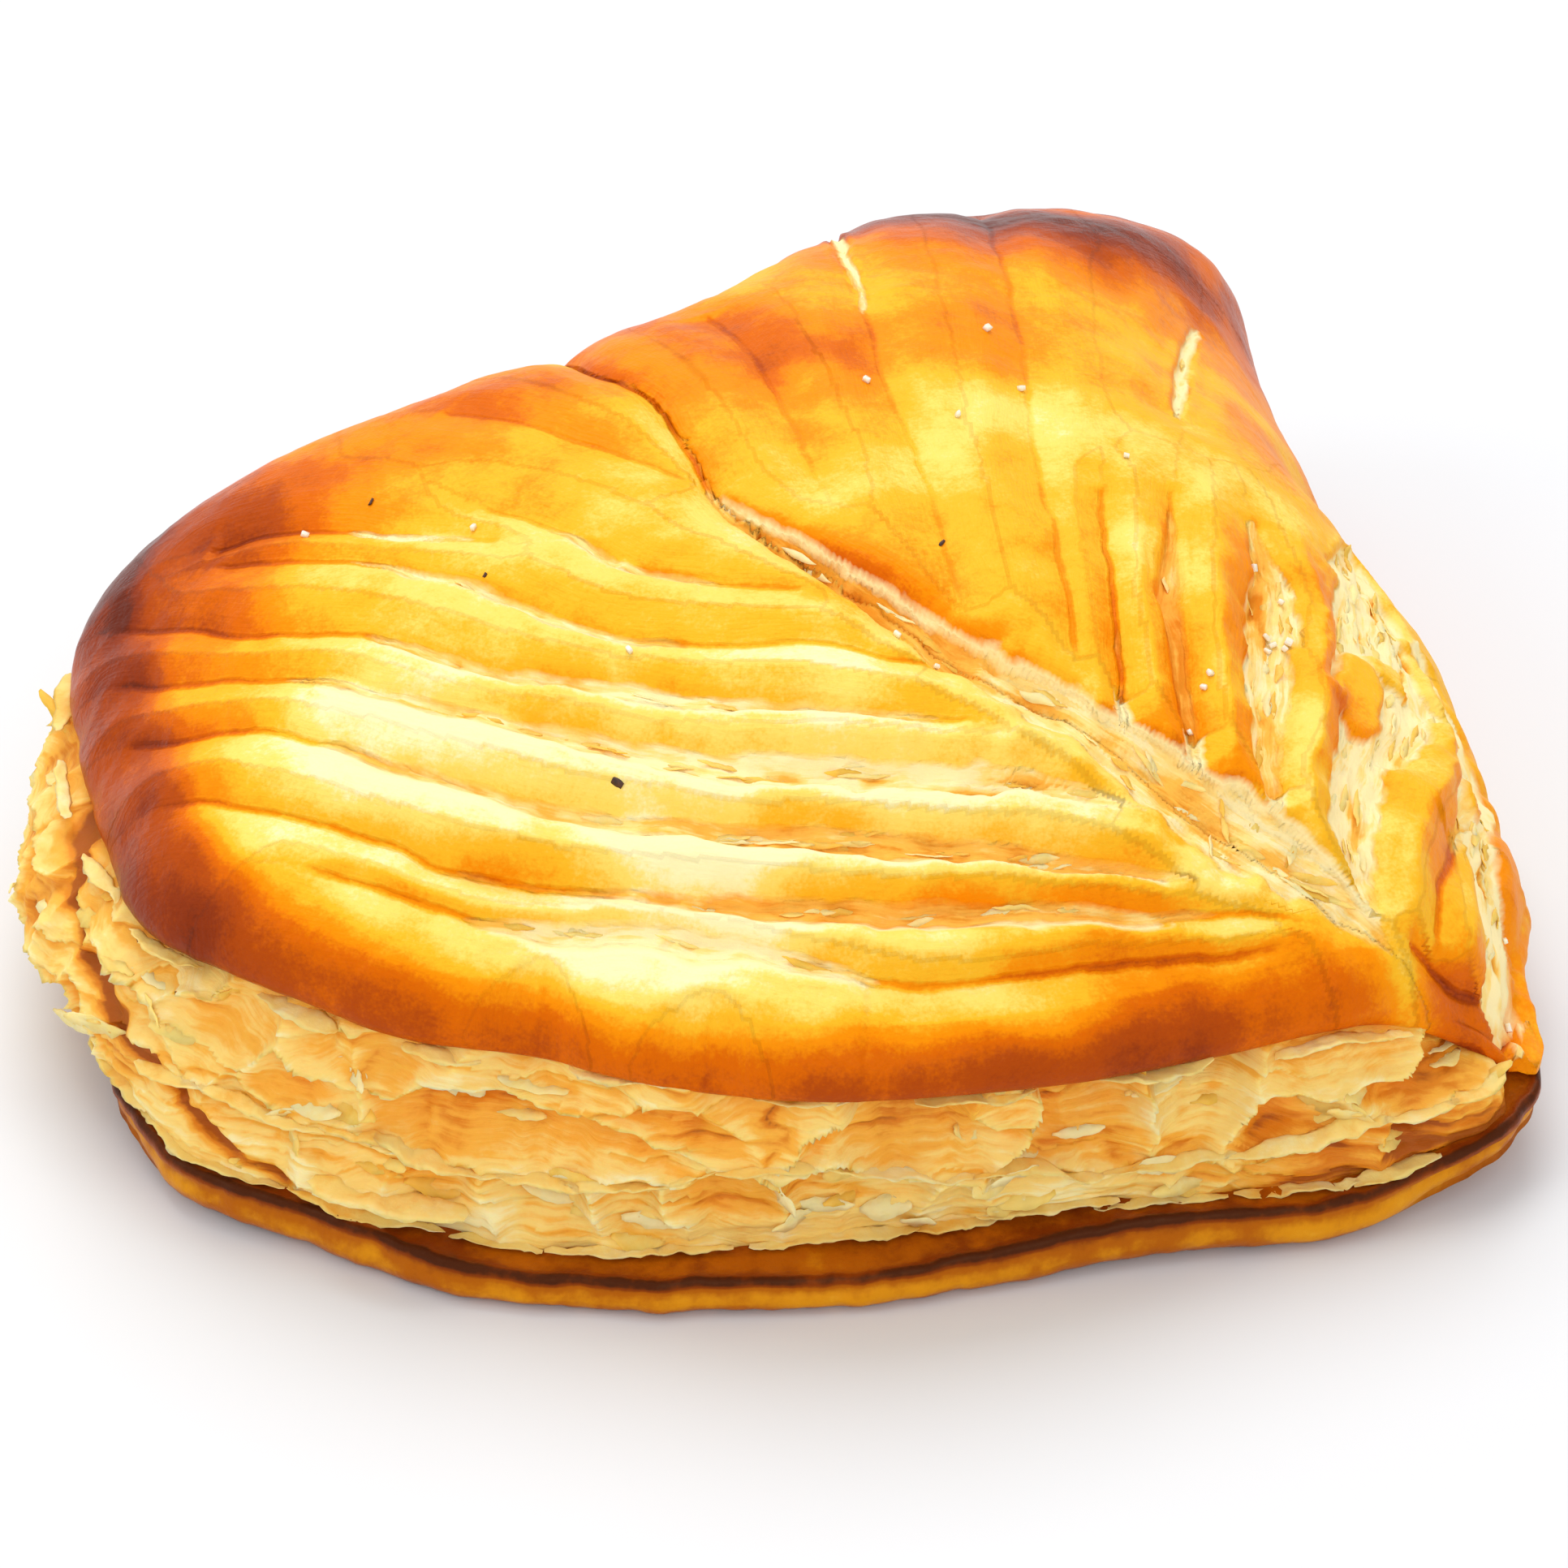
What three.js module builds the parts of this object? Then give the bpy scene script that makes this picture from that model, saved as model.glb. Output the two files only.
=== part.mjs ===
// Apple turnover: a round of puff pastry folded once over its filling, glazed, scored as a leaf and baked.
// Millimetres, +Z up. The fold is the straight side at +X; the cut, layered edge runs round the other sides.
// The stalk end of the leaf is at the +X -Y corner. The turnover lies on its flat bottom crust at z = 0.
import * as THREE from 'three';

// driving dimensions
const CROWN_HEIGHT = 45;          // highest point of the baked top
const CROWN_AT = [6, 10.5];       // plan position of that point, on the midrib
const DOME_POWER = 2.6;           // how flat the middle of the dome is
const DOME_SHOULDER = 0.55;       // how steeply the skin rises from its rim
const REST_INSET = 5.5;           // from the edge of the bottom crust in to the flat it rests on
const CRUST_THICKNESS = 3;        // the firm bottom sheet
const WALL_WAIST = 1.2;           // how far the soft layers draw in below the glazed rim
const FLAKE_BULGE = 3.4;          // how far the loose leaves stand out at the left end
const MIDRIB_DEPTH = 1.6;         // the main score line of the leaf
const MIDRIB_HALF_WIDTH = 5;
const MIDRIB_FROM = [54, -46];
const MIDRIB_TO = [-16, 36.4];

// mesh fineness
const SIDES = 120;                // samples round the plan
const CURVE_SAMPLES = 720;
const TOP_RINGS = 17;

// The lower edge of the glazed skin, as x, y, height. Along the fold this is the widest part of the roll.
const GLAZED_RIM = [
  [59, -50.5, 10], [53.5, -55.5, 15], [45, -57, 18], [30, -60.5, 19], [15, -64.5, 21], [-1, -65, 22],
  [-13, -62, 22], [-25, -55.5, 22], [-36, -51.5, 22], [-46, -43.5, 22], [-54.5, -35, 22], [-57.5, -22, 22],
  [-59.3, -7, 22.5], [-59.5, 6, 23], [-55, 16, 23], [-45, 22.5, 23], [-33, 28, 24], [-21, 33, 25],
  [-10, 38, 25], [1, 44.5, 26], [11, 52, 27], [21, 60, 28], [32, 63, 28.5], [43, 63, 28],
  [53, 61.5, 26], [60, 56, 22], [60.8, 44, 16], [61.3, 30, 14], [63.3, 16, 13], [65, 2, 12],
  [65.3, -12, 12], [64.5, -26, 11], [62.5, -40, 10],
];

// The edge of the bottom crust, as x, y, height: it lifts off the table at both ends.
const CRUST_EDGE = [
  [60.5, -51.5, 7.5], [57.5, -57, 7], [51, -60.5, 6], [40, -63, 4.5], [27, -63, 4.5], [10, -63.5, 4],
  [-1, -63.5, 3.5], [-13, -62, 3.5], [-25, -59.5, 3.5], [-36, -55, 4], [-46, -48, 4.5], [-56, -43, 5],
  [-62, -33, 6.5], [-63.8, -20, 7], [-63.4, -6, 6.5], [-61.5, 8, 5.5], [-56, 19, 5], [-45, 26, 4.5],
  [-33, 31.5, 4.5], [-21, 36.5, 4.5], [-10, 41.5, 4.5], [1, 48.5, 4.5], [11, 56, 4.5], [21, 63, 4.5],
  [32, 65, 5], [43, 65, 5], [54, 63, 5], [60.5, 57, 5], [61, 44, 4.5], [61, 30, 4],
  [62, 16, 4], [63, 2, 4], [63, -12, 4], [62.5, -26, 4.5], [61.8, -40, 5.5],
];

// Radius and height of a closed curve in each direction from the crown.
function readRoundCurve(points) {
  const curve = new THREE.CatmullRomCurve3(points.map((p) => new THREE.Vector3(...p)), true);
  const samples = curve.getPoints(CURVE_SAMPLES).map((p) => {
    const x = p.x - CROWN_AT[0];
    const y = p.y - CROWN_AT[1];
    return { angle: Math.atan2(y, x), radius: Math.hypot(x, y), height: p.z };
  });
  samples.sort((a, b) => a.angle - b.angle);
  const first = samples[0];
  const last = samples[samples.length - 1];
  samples.unshift({ ...last, angle: last.angle - 2 * Math.PI });
  samples.push({ ...first, angle: first.angle + 2 * Math.PI });
  return (angle) => {
    const next = samples.findIndex((s) => s.angle > angle);
    const a = samples[next - 1];
    const b = samples[next];
    const part = (angle - a.angle) / (b.angle - a.angle);
    return {
      radius: THREE.MathUtils.lerp(a.radius, b.radius, part),
      height: THREE.MathUtils.lerp(a.height, b.height, part),
    };
  };
}

// How deep the midrib is pressed at a point of the plan: full along the line, nothing past its ends.
function midribGroove(x, y) {
  const along = new THREE.Vector2(MIDRIB_TO[0] - MIDRIB_FROM[0], MIDRIB_TO[1] - MIDRIB_FROM[1]);
  const length = along.length();
  along.normalize();
  const t = ((x - MIDRIB_FROM[0]) * along.x + (y - MIDRIB_FROM[1]) * along.y) / length;
  const side = Math.abs((x - MIDRIB_FROM[0]) * along.y - (y - MIDRIB_FROM[1]) * along.x);
  const width = 1 - THREE.MathUtils.smoothstep(side, 0, MIDRIB_HALF_WIDTH);
  const ends = THREE.MathUtils.smoothstep(t, 0, 0.12) * (1 - THREE.MathUtils.smoothstep(t, 0.9, 1));
  return MIDRIB_DEPTH * width * ends;
}

// The rings of the body in one direction, from the flat bottom up the side and over the dome.
function profile(rim, crust, angle) {
  const facing = Math.cos(angle - Math.PI);                   // 1 towards the left end of the turnover
  const bulge = FLAKE_BULGE * THREE.MathUtils.smoothstep(facing, 0.75, 1);
  const onFold = THREE.MathUtils.smoothstep(Math.cos(angle), 0.72, 0.8);
  const waist = WALL_WAIST * (1 - onFold);
  const wall = (part, draw) => [
    THREE.MathUtils.lerp(crust.radius, rim.radius, part) - draw,
    THREE.MathUtils.lerp(crust.height, rim.height, part),
  ];
  const rings = [
    [crust.radius - REST_INSET, 0],
    [crust.radius - 0.8, Math.max(0.6, crust.height - CRUST_THICKNESS)],
    [crust.radius, crust.height - 0.4 * CRUST_THICKNESS],
    wall(0, 0.5 * (1 - onFold)),
    wall(0.3, waist * 0.6 - bulge),
    wall(0.6, waist - bulge * 0.8),
    wall(0.88, waist * 0.6 - bulge * 0.1),
    [rim.radius, rim.height],
  ];
  for (let ring = 1; ring <= TOP_RINGS; ring += 1) {
    const out = 1 - (ring / (TOP_RINGS + 1)) ** 1.35;         // rings close together near the rim
    const rise = (1 - out ** DOME_POWER) ** DOME_SHOULDER;
    rings.push([rim.radius * out, rim.height + (CROWN_HEIGHT - rim.height) * rise]);
  }
  return rings;
}

function turnoverBody() {
  const rimAt = readRoundCurve(GLAZED_RIM);
  const crustAt = readRoundCurve(CRUST_EDGE);
  const columns = [];
  for (let side = 0; side < SIDES; side += 1) {
    const angle = -Math.PI + (side + 0.5) * 2 * Math.PI / SIDES;
    const rings = profile(rimAt(angle), crustAt(angle), angle);
    columns.push(rings.map(([radius, height], index) => {
      const x = CROWN_AT[0] + radius * Math.cos(angle);
      const y = CROWN_AT[1] + radius * Math.sin(angle);
      const pressed = index > rings.length - TOP_RINGS ? midribGroove(x, y) : 0;
      return [x, y, height - pressed];
    }));
  }
  const ringCount = columns[0].length;
  const bottomCentre = SIDES * ringCount;
  const crown = bottomCentre + 1;
  const positions = columns.flat(2);
  positions.push(CROWN_AT[0], CROWN_AT[1], 0);
  positions.push(CROWN_AT[0], CROWN_AT[1], CROWN_HEIGHT - midribGroove(...CROWN_AT));
  const faces = [];
  for (let side = 0; side < SIDES; side += 1) {
    const here = side * ringCount;
    const next = ((side + 1) % SIDES) * ringCount;
    faces.push(bottomCentre, next, here);
    for (let ring = 0; ring < ringCount - 1; ring += 1) {
      faces.push(here + ring, next + ring, next + ring + 1);
      faces.push(here + ring, next + ring + 1, here + ring + 1);
    }
    faces.push(here + ringCount - 1, next + ringCount - 1, crown);
  }
  const body = new THREE.BufferGeometry();
  body.setAttribute('position', new THREE.Float32BufferAttribute(positions, 3));
  body.setIndex(faces);
  body.computeBoundingBox();
  const centre = body.boundingBox.getCenter(new THREE.Vector3());
  body.translate(-centre.x, -centre.y, 0);
  body.computeVertexNormals();
  return body;
}

const bakedPastry = new THREE.MeshStandardMaterial({ color: 0xe0a04a, roughness: 0.4, metalness: 0 });
const pastry = new THREE.Mesh(turnoverBody(), bakedPastry);
pastry.name = 'baked_turnover';

const turnover = new THREE.Group();
turnover.name = 'apple_turnover';
turnover.add(pastry);

export default turnover;
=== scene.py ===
import math

import bpy
import numpy as np
from mathutils import Matrix, Vector


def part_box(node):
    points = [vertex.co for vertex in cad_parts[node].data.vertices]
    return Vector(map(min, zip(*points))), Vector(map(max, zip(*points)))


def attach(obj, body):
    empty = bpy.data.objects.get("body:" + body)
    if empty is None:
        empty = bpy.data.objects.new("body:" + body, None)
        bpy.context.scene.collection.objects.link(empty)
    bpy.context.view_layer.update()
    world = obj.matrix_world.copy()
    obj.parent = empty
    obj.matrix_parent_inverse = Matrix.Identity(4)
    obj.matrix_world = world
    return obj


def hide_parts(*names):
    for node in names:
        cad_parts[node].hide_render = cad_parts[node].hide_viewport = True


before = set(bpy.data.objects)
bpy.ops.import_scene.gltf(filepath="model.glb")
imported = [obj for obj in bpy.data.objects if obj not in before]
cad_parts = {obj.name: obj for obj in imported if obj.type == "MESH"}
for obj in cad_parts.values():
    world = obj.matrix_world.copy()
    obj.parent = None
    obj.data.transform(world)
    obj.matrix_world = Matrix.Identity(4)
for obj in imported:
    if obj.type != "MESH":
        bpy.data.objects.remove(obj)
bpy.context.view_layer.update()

body_low, body_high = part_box("baked_turnover")
mm = (body_high.x - body_low.x) / 130.05      # one millimetre of the turnover, in metres


# ---------------------------------------------------------------------------
# Camera, table and light. The turnover lies on a plain white table and is seen from the front, a little
# from its cut side, under a large soft light from above and behind and a pale room all round it.
# ---------------------------------------------------------------------------
camera_rise = math.radians(34)
camera_side = math.radians(-9.4)
camera_away = 400 * mm
lens_length = 104.35          # long enough for the turnover to fill the view from side to side
looked_at = Vector((1.7, -15.5, 18)) * mm
camera_back = Vector((
    math.sin(camera_side) * math.cos(camera_rise),
    -math.cos(camera_side) * math.cos(camera_rise),
    math.sin(camera_rise),
))
camera_data = bpy.data.cameras.new("camera")
camera_data.sensor_width = 36
camera_data.lens = lens_length
camera_data.clip_start = 0.01
camera = bpy.data.objects.new("camera", camera_data)
camera.location = looked_at + camera_back * camera_away
camera.rotation_mode = "QUATERNION"
camera.rotation_quaternion = (-camera_back).to_track_quat("-Z", "Y")
bpy.context.collection.objects.link(camera)
bpy.context.scene.camera = camera
bpy.context.scene.view_settings.view_transform = "Standard"


def soft_light(name, place, aim, size, power, tint):
    """A square lamp in millimetres, turned towards the point that it lights."""
    data = bpy.data.lights.new(name, "AREA")
    data.shape = "SQUARE"
    data.size = size * mm
    data.energy = power
    data.color = tint
    lamp = bpy.data.objects.new(name, data)
    lamp.location = Vector(place) * mm
    lamp.rotation_mode = "QUATERNION"
    lamp.rotation_quaternion = (Vector(place) - Vector(aim)).to_track_quat("Z", "Y")
    bpy.context.collection.objects.link(lamp)


soft_light("window_behind", (-40, 780, 1350), (0, 0, 20), 1100, 13.4, (1.0, 1.0, 1.0))
soft_light("window_left", (-1300, -100, 900), (0, 0, 15), 700, 3.2, (1.0, 1.0, 1.0))
soft_light("lamp_front", (100, -1400, 900), (0, -20, 15), 900, 5.4, (1.0, 1.0, 1.0))

room = bpy.data.worlds.new("pale_room")
room.use_nodes = True
room.node_tree.nodes["Background"].inputs["Color"].default_value = (1.0, 1.0, 1.0, 1)
room.node_tree.nodes["Background"].inputs["Strength"].default_value = 0.70
bpy.context.scene.world = room

table_reach = 3.0             # metres to each side, well past what the camera sees
table_mesh = bpy.data.meshes.new("table_top")
table_mesh.from_pydata(
    [(-table_reach, -table_reach, 0), (table_reach, -table_reach, 0),
     (table_reach, table_reach, 0), (-table_reach, table_reach, 0)],
    [], [(0, 1, 2, 3)])
table_top = bpy.data.objects.new("table_top", table_mesh)
bpy.context.collection.objects.link(table_top)
table_paint = bpy.data.materials.new("white_table")
table_paint.use_nodes = True
table_shader = table_paint.node_tree.nodes["Principled BSDF"]
table_shader.inputs["Base Color"].default_value = (0.785, 0.80, 0.82, 1)
table_shader.inputs["Roughness"].default_value = 0.6
table_mesh.materials.append(table_paint)


# ---------------------------------------------------------------------------
# The glazed skin. It is the top of the folded dough: brushed with egg, scored as a leaf with a knife, and
# puffed into rounded strips between the cuts. It rolls over the fold down to the bottom crust; elsewhere it
# ends in a rim above the layered edge. The wide cuts have torn open on the pale, dry inside.
# ---------------------------------------------------------------------------
crown_x, crown_y, crown_height = 6.0, 10.5, 45.0
dome_power = 2.6
dome_shoulder = 0.62

# lower edge of the skin, as x, y, height in millimetres; on the fold it is the widest part of the roll
glazed_rim = [
    (59.5, -51, 8.5), (55, -55.3, 12.5), (45, -57, 18), (30, -60.5, 19), (15, -64.5, 21), (-1, -65, 22),
    (-13, -62, 22), (-25, -55.5, 22), (-36, -51.3, 22.5), (-46, -43, 23.3), (-54.5, -34.5, 23),
    (-57.5, -22, 22), (-59.3, -7, 22.5), (-59.5, 6, 23), (-55, 16, 23), (-45, 22.5, 23), (-33, 28, 24),
    (-21, 33, 25), (-10, 38, 25), (1, 44.5, 26), (11, 52, 27), (21, 60, 28), (32, 63, 28.5), (43, 63, 28),
    (53, 61.5, 26), (60, 56, 22), (60.8, 44, 16), (61.3, 30, 14), (63.3, 16, 13), (65, 2, 12),
    (65.3, -12, 12), (64.5, -26, 11), (62.5, -40, 10),
]
# edge of the bottom crust
crust_edge = [
    (60.5, -51.5, 7.5), (57.5, -57, 7), (51, -61, 6), (40, -63.8, 4.5), (27, -64, 4.5), (10, -65, 4),
    (-1, -65.2, 3.5), (-13, -64, 3.5), (-25, -61.5, 3.5), (-36, -57, 4), (-45.5, -50, 4.5),
    (-54, -43.5, 5), (-58.5, -34, 6), (-60, -20, 6.5), (-60.5, -6, 6), (-60.5, 8, 5.5), (-56, 19, 5),
    (-45, 26, 4.5), (-33, 31.5, 4.5), (-21, 36.5, 4.5), (-10, 41.5, 4.5), (1, 48.5, 4.5), (11, 56, 4.5),
    (21, 63, 4.5), (32, 65, 5), (43, 65, 5), (54, 63, 5), (60.5, 57, 5), (61, 44, 4.5), (61, 30, 4),
    (62, 16, 4), (63, 2, 4), (63, -12, 4), (62.5, -26, 4.5), (61.8, -40, 5.5),
]


def smooth_curve(points, count, closed):
    """Points along a Catmull-Rom curve through the given ones."""
    knots = np.array(points, float)
    if closed:
        place = np.linspace(0, len(knots), count, endpoint=False)
        pick = lambda i: knots[i % len(knots)]
    else:
        place = np.linspace(0, len(knots) - 1, count)
        pick = lambda i: knots[np.clip(i, 0, len(knots) - 1)]
    start = np.minimum(np.floor(place).astype(int), len(knots) - (0 if closed else 2))
    part = (place - start)[:, None]
    a, b, c, d = pick(start - 1), pick(start), pick(start + 1), pick(start + 2)
    return 0.5 * (2 * b + (c - a) * part + (2 * a - 5 * b + 4 * c - d) * part ** 2
                  + (3 * b - a - 3 * c + d) * part ** 3)


def by_direction(points):
    """Reads a closed curve as radius and height in each direction from the crown."""
    around = smooth_curve(points, 2400, True)
    x, y = around[:, 0] - crown_x, around[:, 1] - crown_y
    order = np.argsort(np.arctan2(y, x))
    angle = np.arctan2(y, x)[order]
    angle = np.concatenate([angle - 2 * np.pi, angle, angle + 2 * np.pi])
    radius = np.tile(np.hypot(x, y)[order], 3)
    height = np.tile(around[order, 2], 3)
    return lambda at: (np.interp(at, angle, radius), np.interp(at, angle, height))


def ramp(value, start, end):
    """Goes smoothly from 0 at start to 1 at end."""
    part = np.clip((value - start) / (end - start), 0, 1)
    return part * part * (3 - 2 * part)


def unevenness(points, size, seed, octaves=1):
    """Smooth irregularity of dough, -1 to 1, whose lumps are about size millimetres across."""
    points = np.asarray(points, float)
    total = np.zeros(len(points))
    share, whole = 1.0, 0.0
    for octave in range(octaves):
        cell = points / size * 2 ** octave + np.array([13.7, 5.3, 31.1]) * (seed + 1) + octave * 7.7
        base = np.floor(cell).astype(np.int64)
        part = cell - base
        ease = part * part * (3 - 2 * part)
        value = np.zeros(len(points))
        for corner in range(8):
            step = np.array([corner & 1, corner >> 1 & 1, corner >> 2 & 1])
            key = (base + step) @ np.array([73856093, 19349663, 83492791]) + seed * 15485863
            key = ((key & 0xFFFFFFF) ^ (key >> 7 & 0xFFFFFFF)) * 2654435 & 0xFFFFFFFF
            key = (key ^ key >> 13) * 97531 & 0xFFFFFFF
            pull = np.prod(np.where(step, ease, 1 - ease), axis=1)
            value += pull * ((key >> 8 & 0xFFFF) / 32767.5 - 1)
        total += share * value
        whole += share
        share *= 0.5
    return total / whole * 1.6


def round_crown(radius, angle, height):
    """Points at a radius and a height in each direction from the crown."""
    return np.stack([crown_x + radius * np.cos(angle), crown_y + radius * np.sin(angle), height], axis=1)


def band_between(lower, upper):
    """Four-cornered faces between two closed rings of points, given by the points' numbers."""
    return np.stack([lower, np.roll(lower, -1), np.roll(upper, -1), upper], axis=1)


rim_towards = by_direction(glazed_rim)
crust_towards = by_direction(crust_edge)


def on_fold(angle):
    """1 where the dough is folded, 0 round the cut edge, with short changes at the two corners."""
    turned = np.mod(angle + np.pi, 2 * np.pi) - np.pi
    past_tip = ramp(turned, math.radians(-54), math.radians(-50))
    past_back = ramp(turned, math.radians(38), math.radians(45))
    return past_tip * (1 - past_back)


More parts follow.
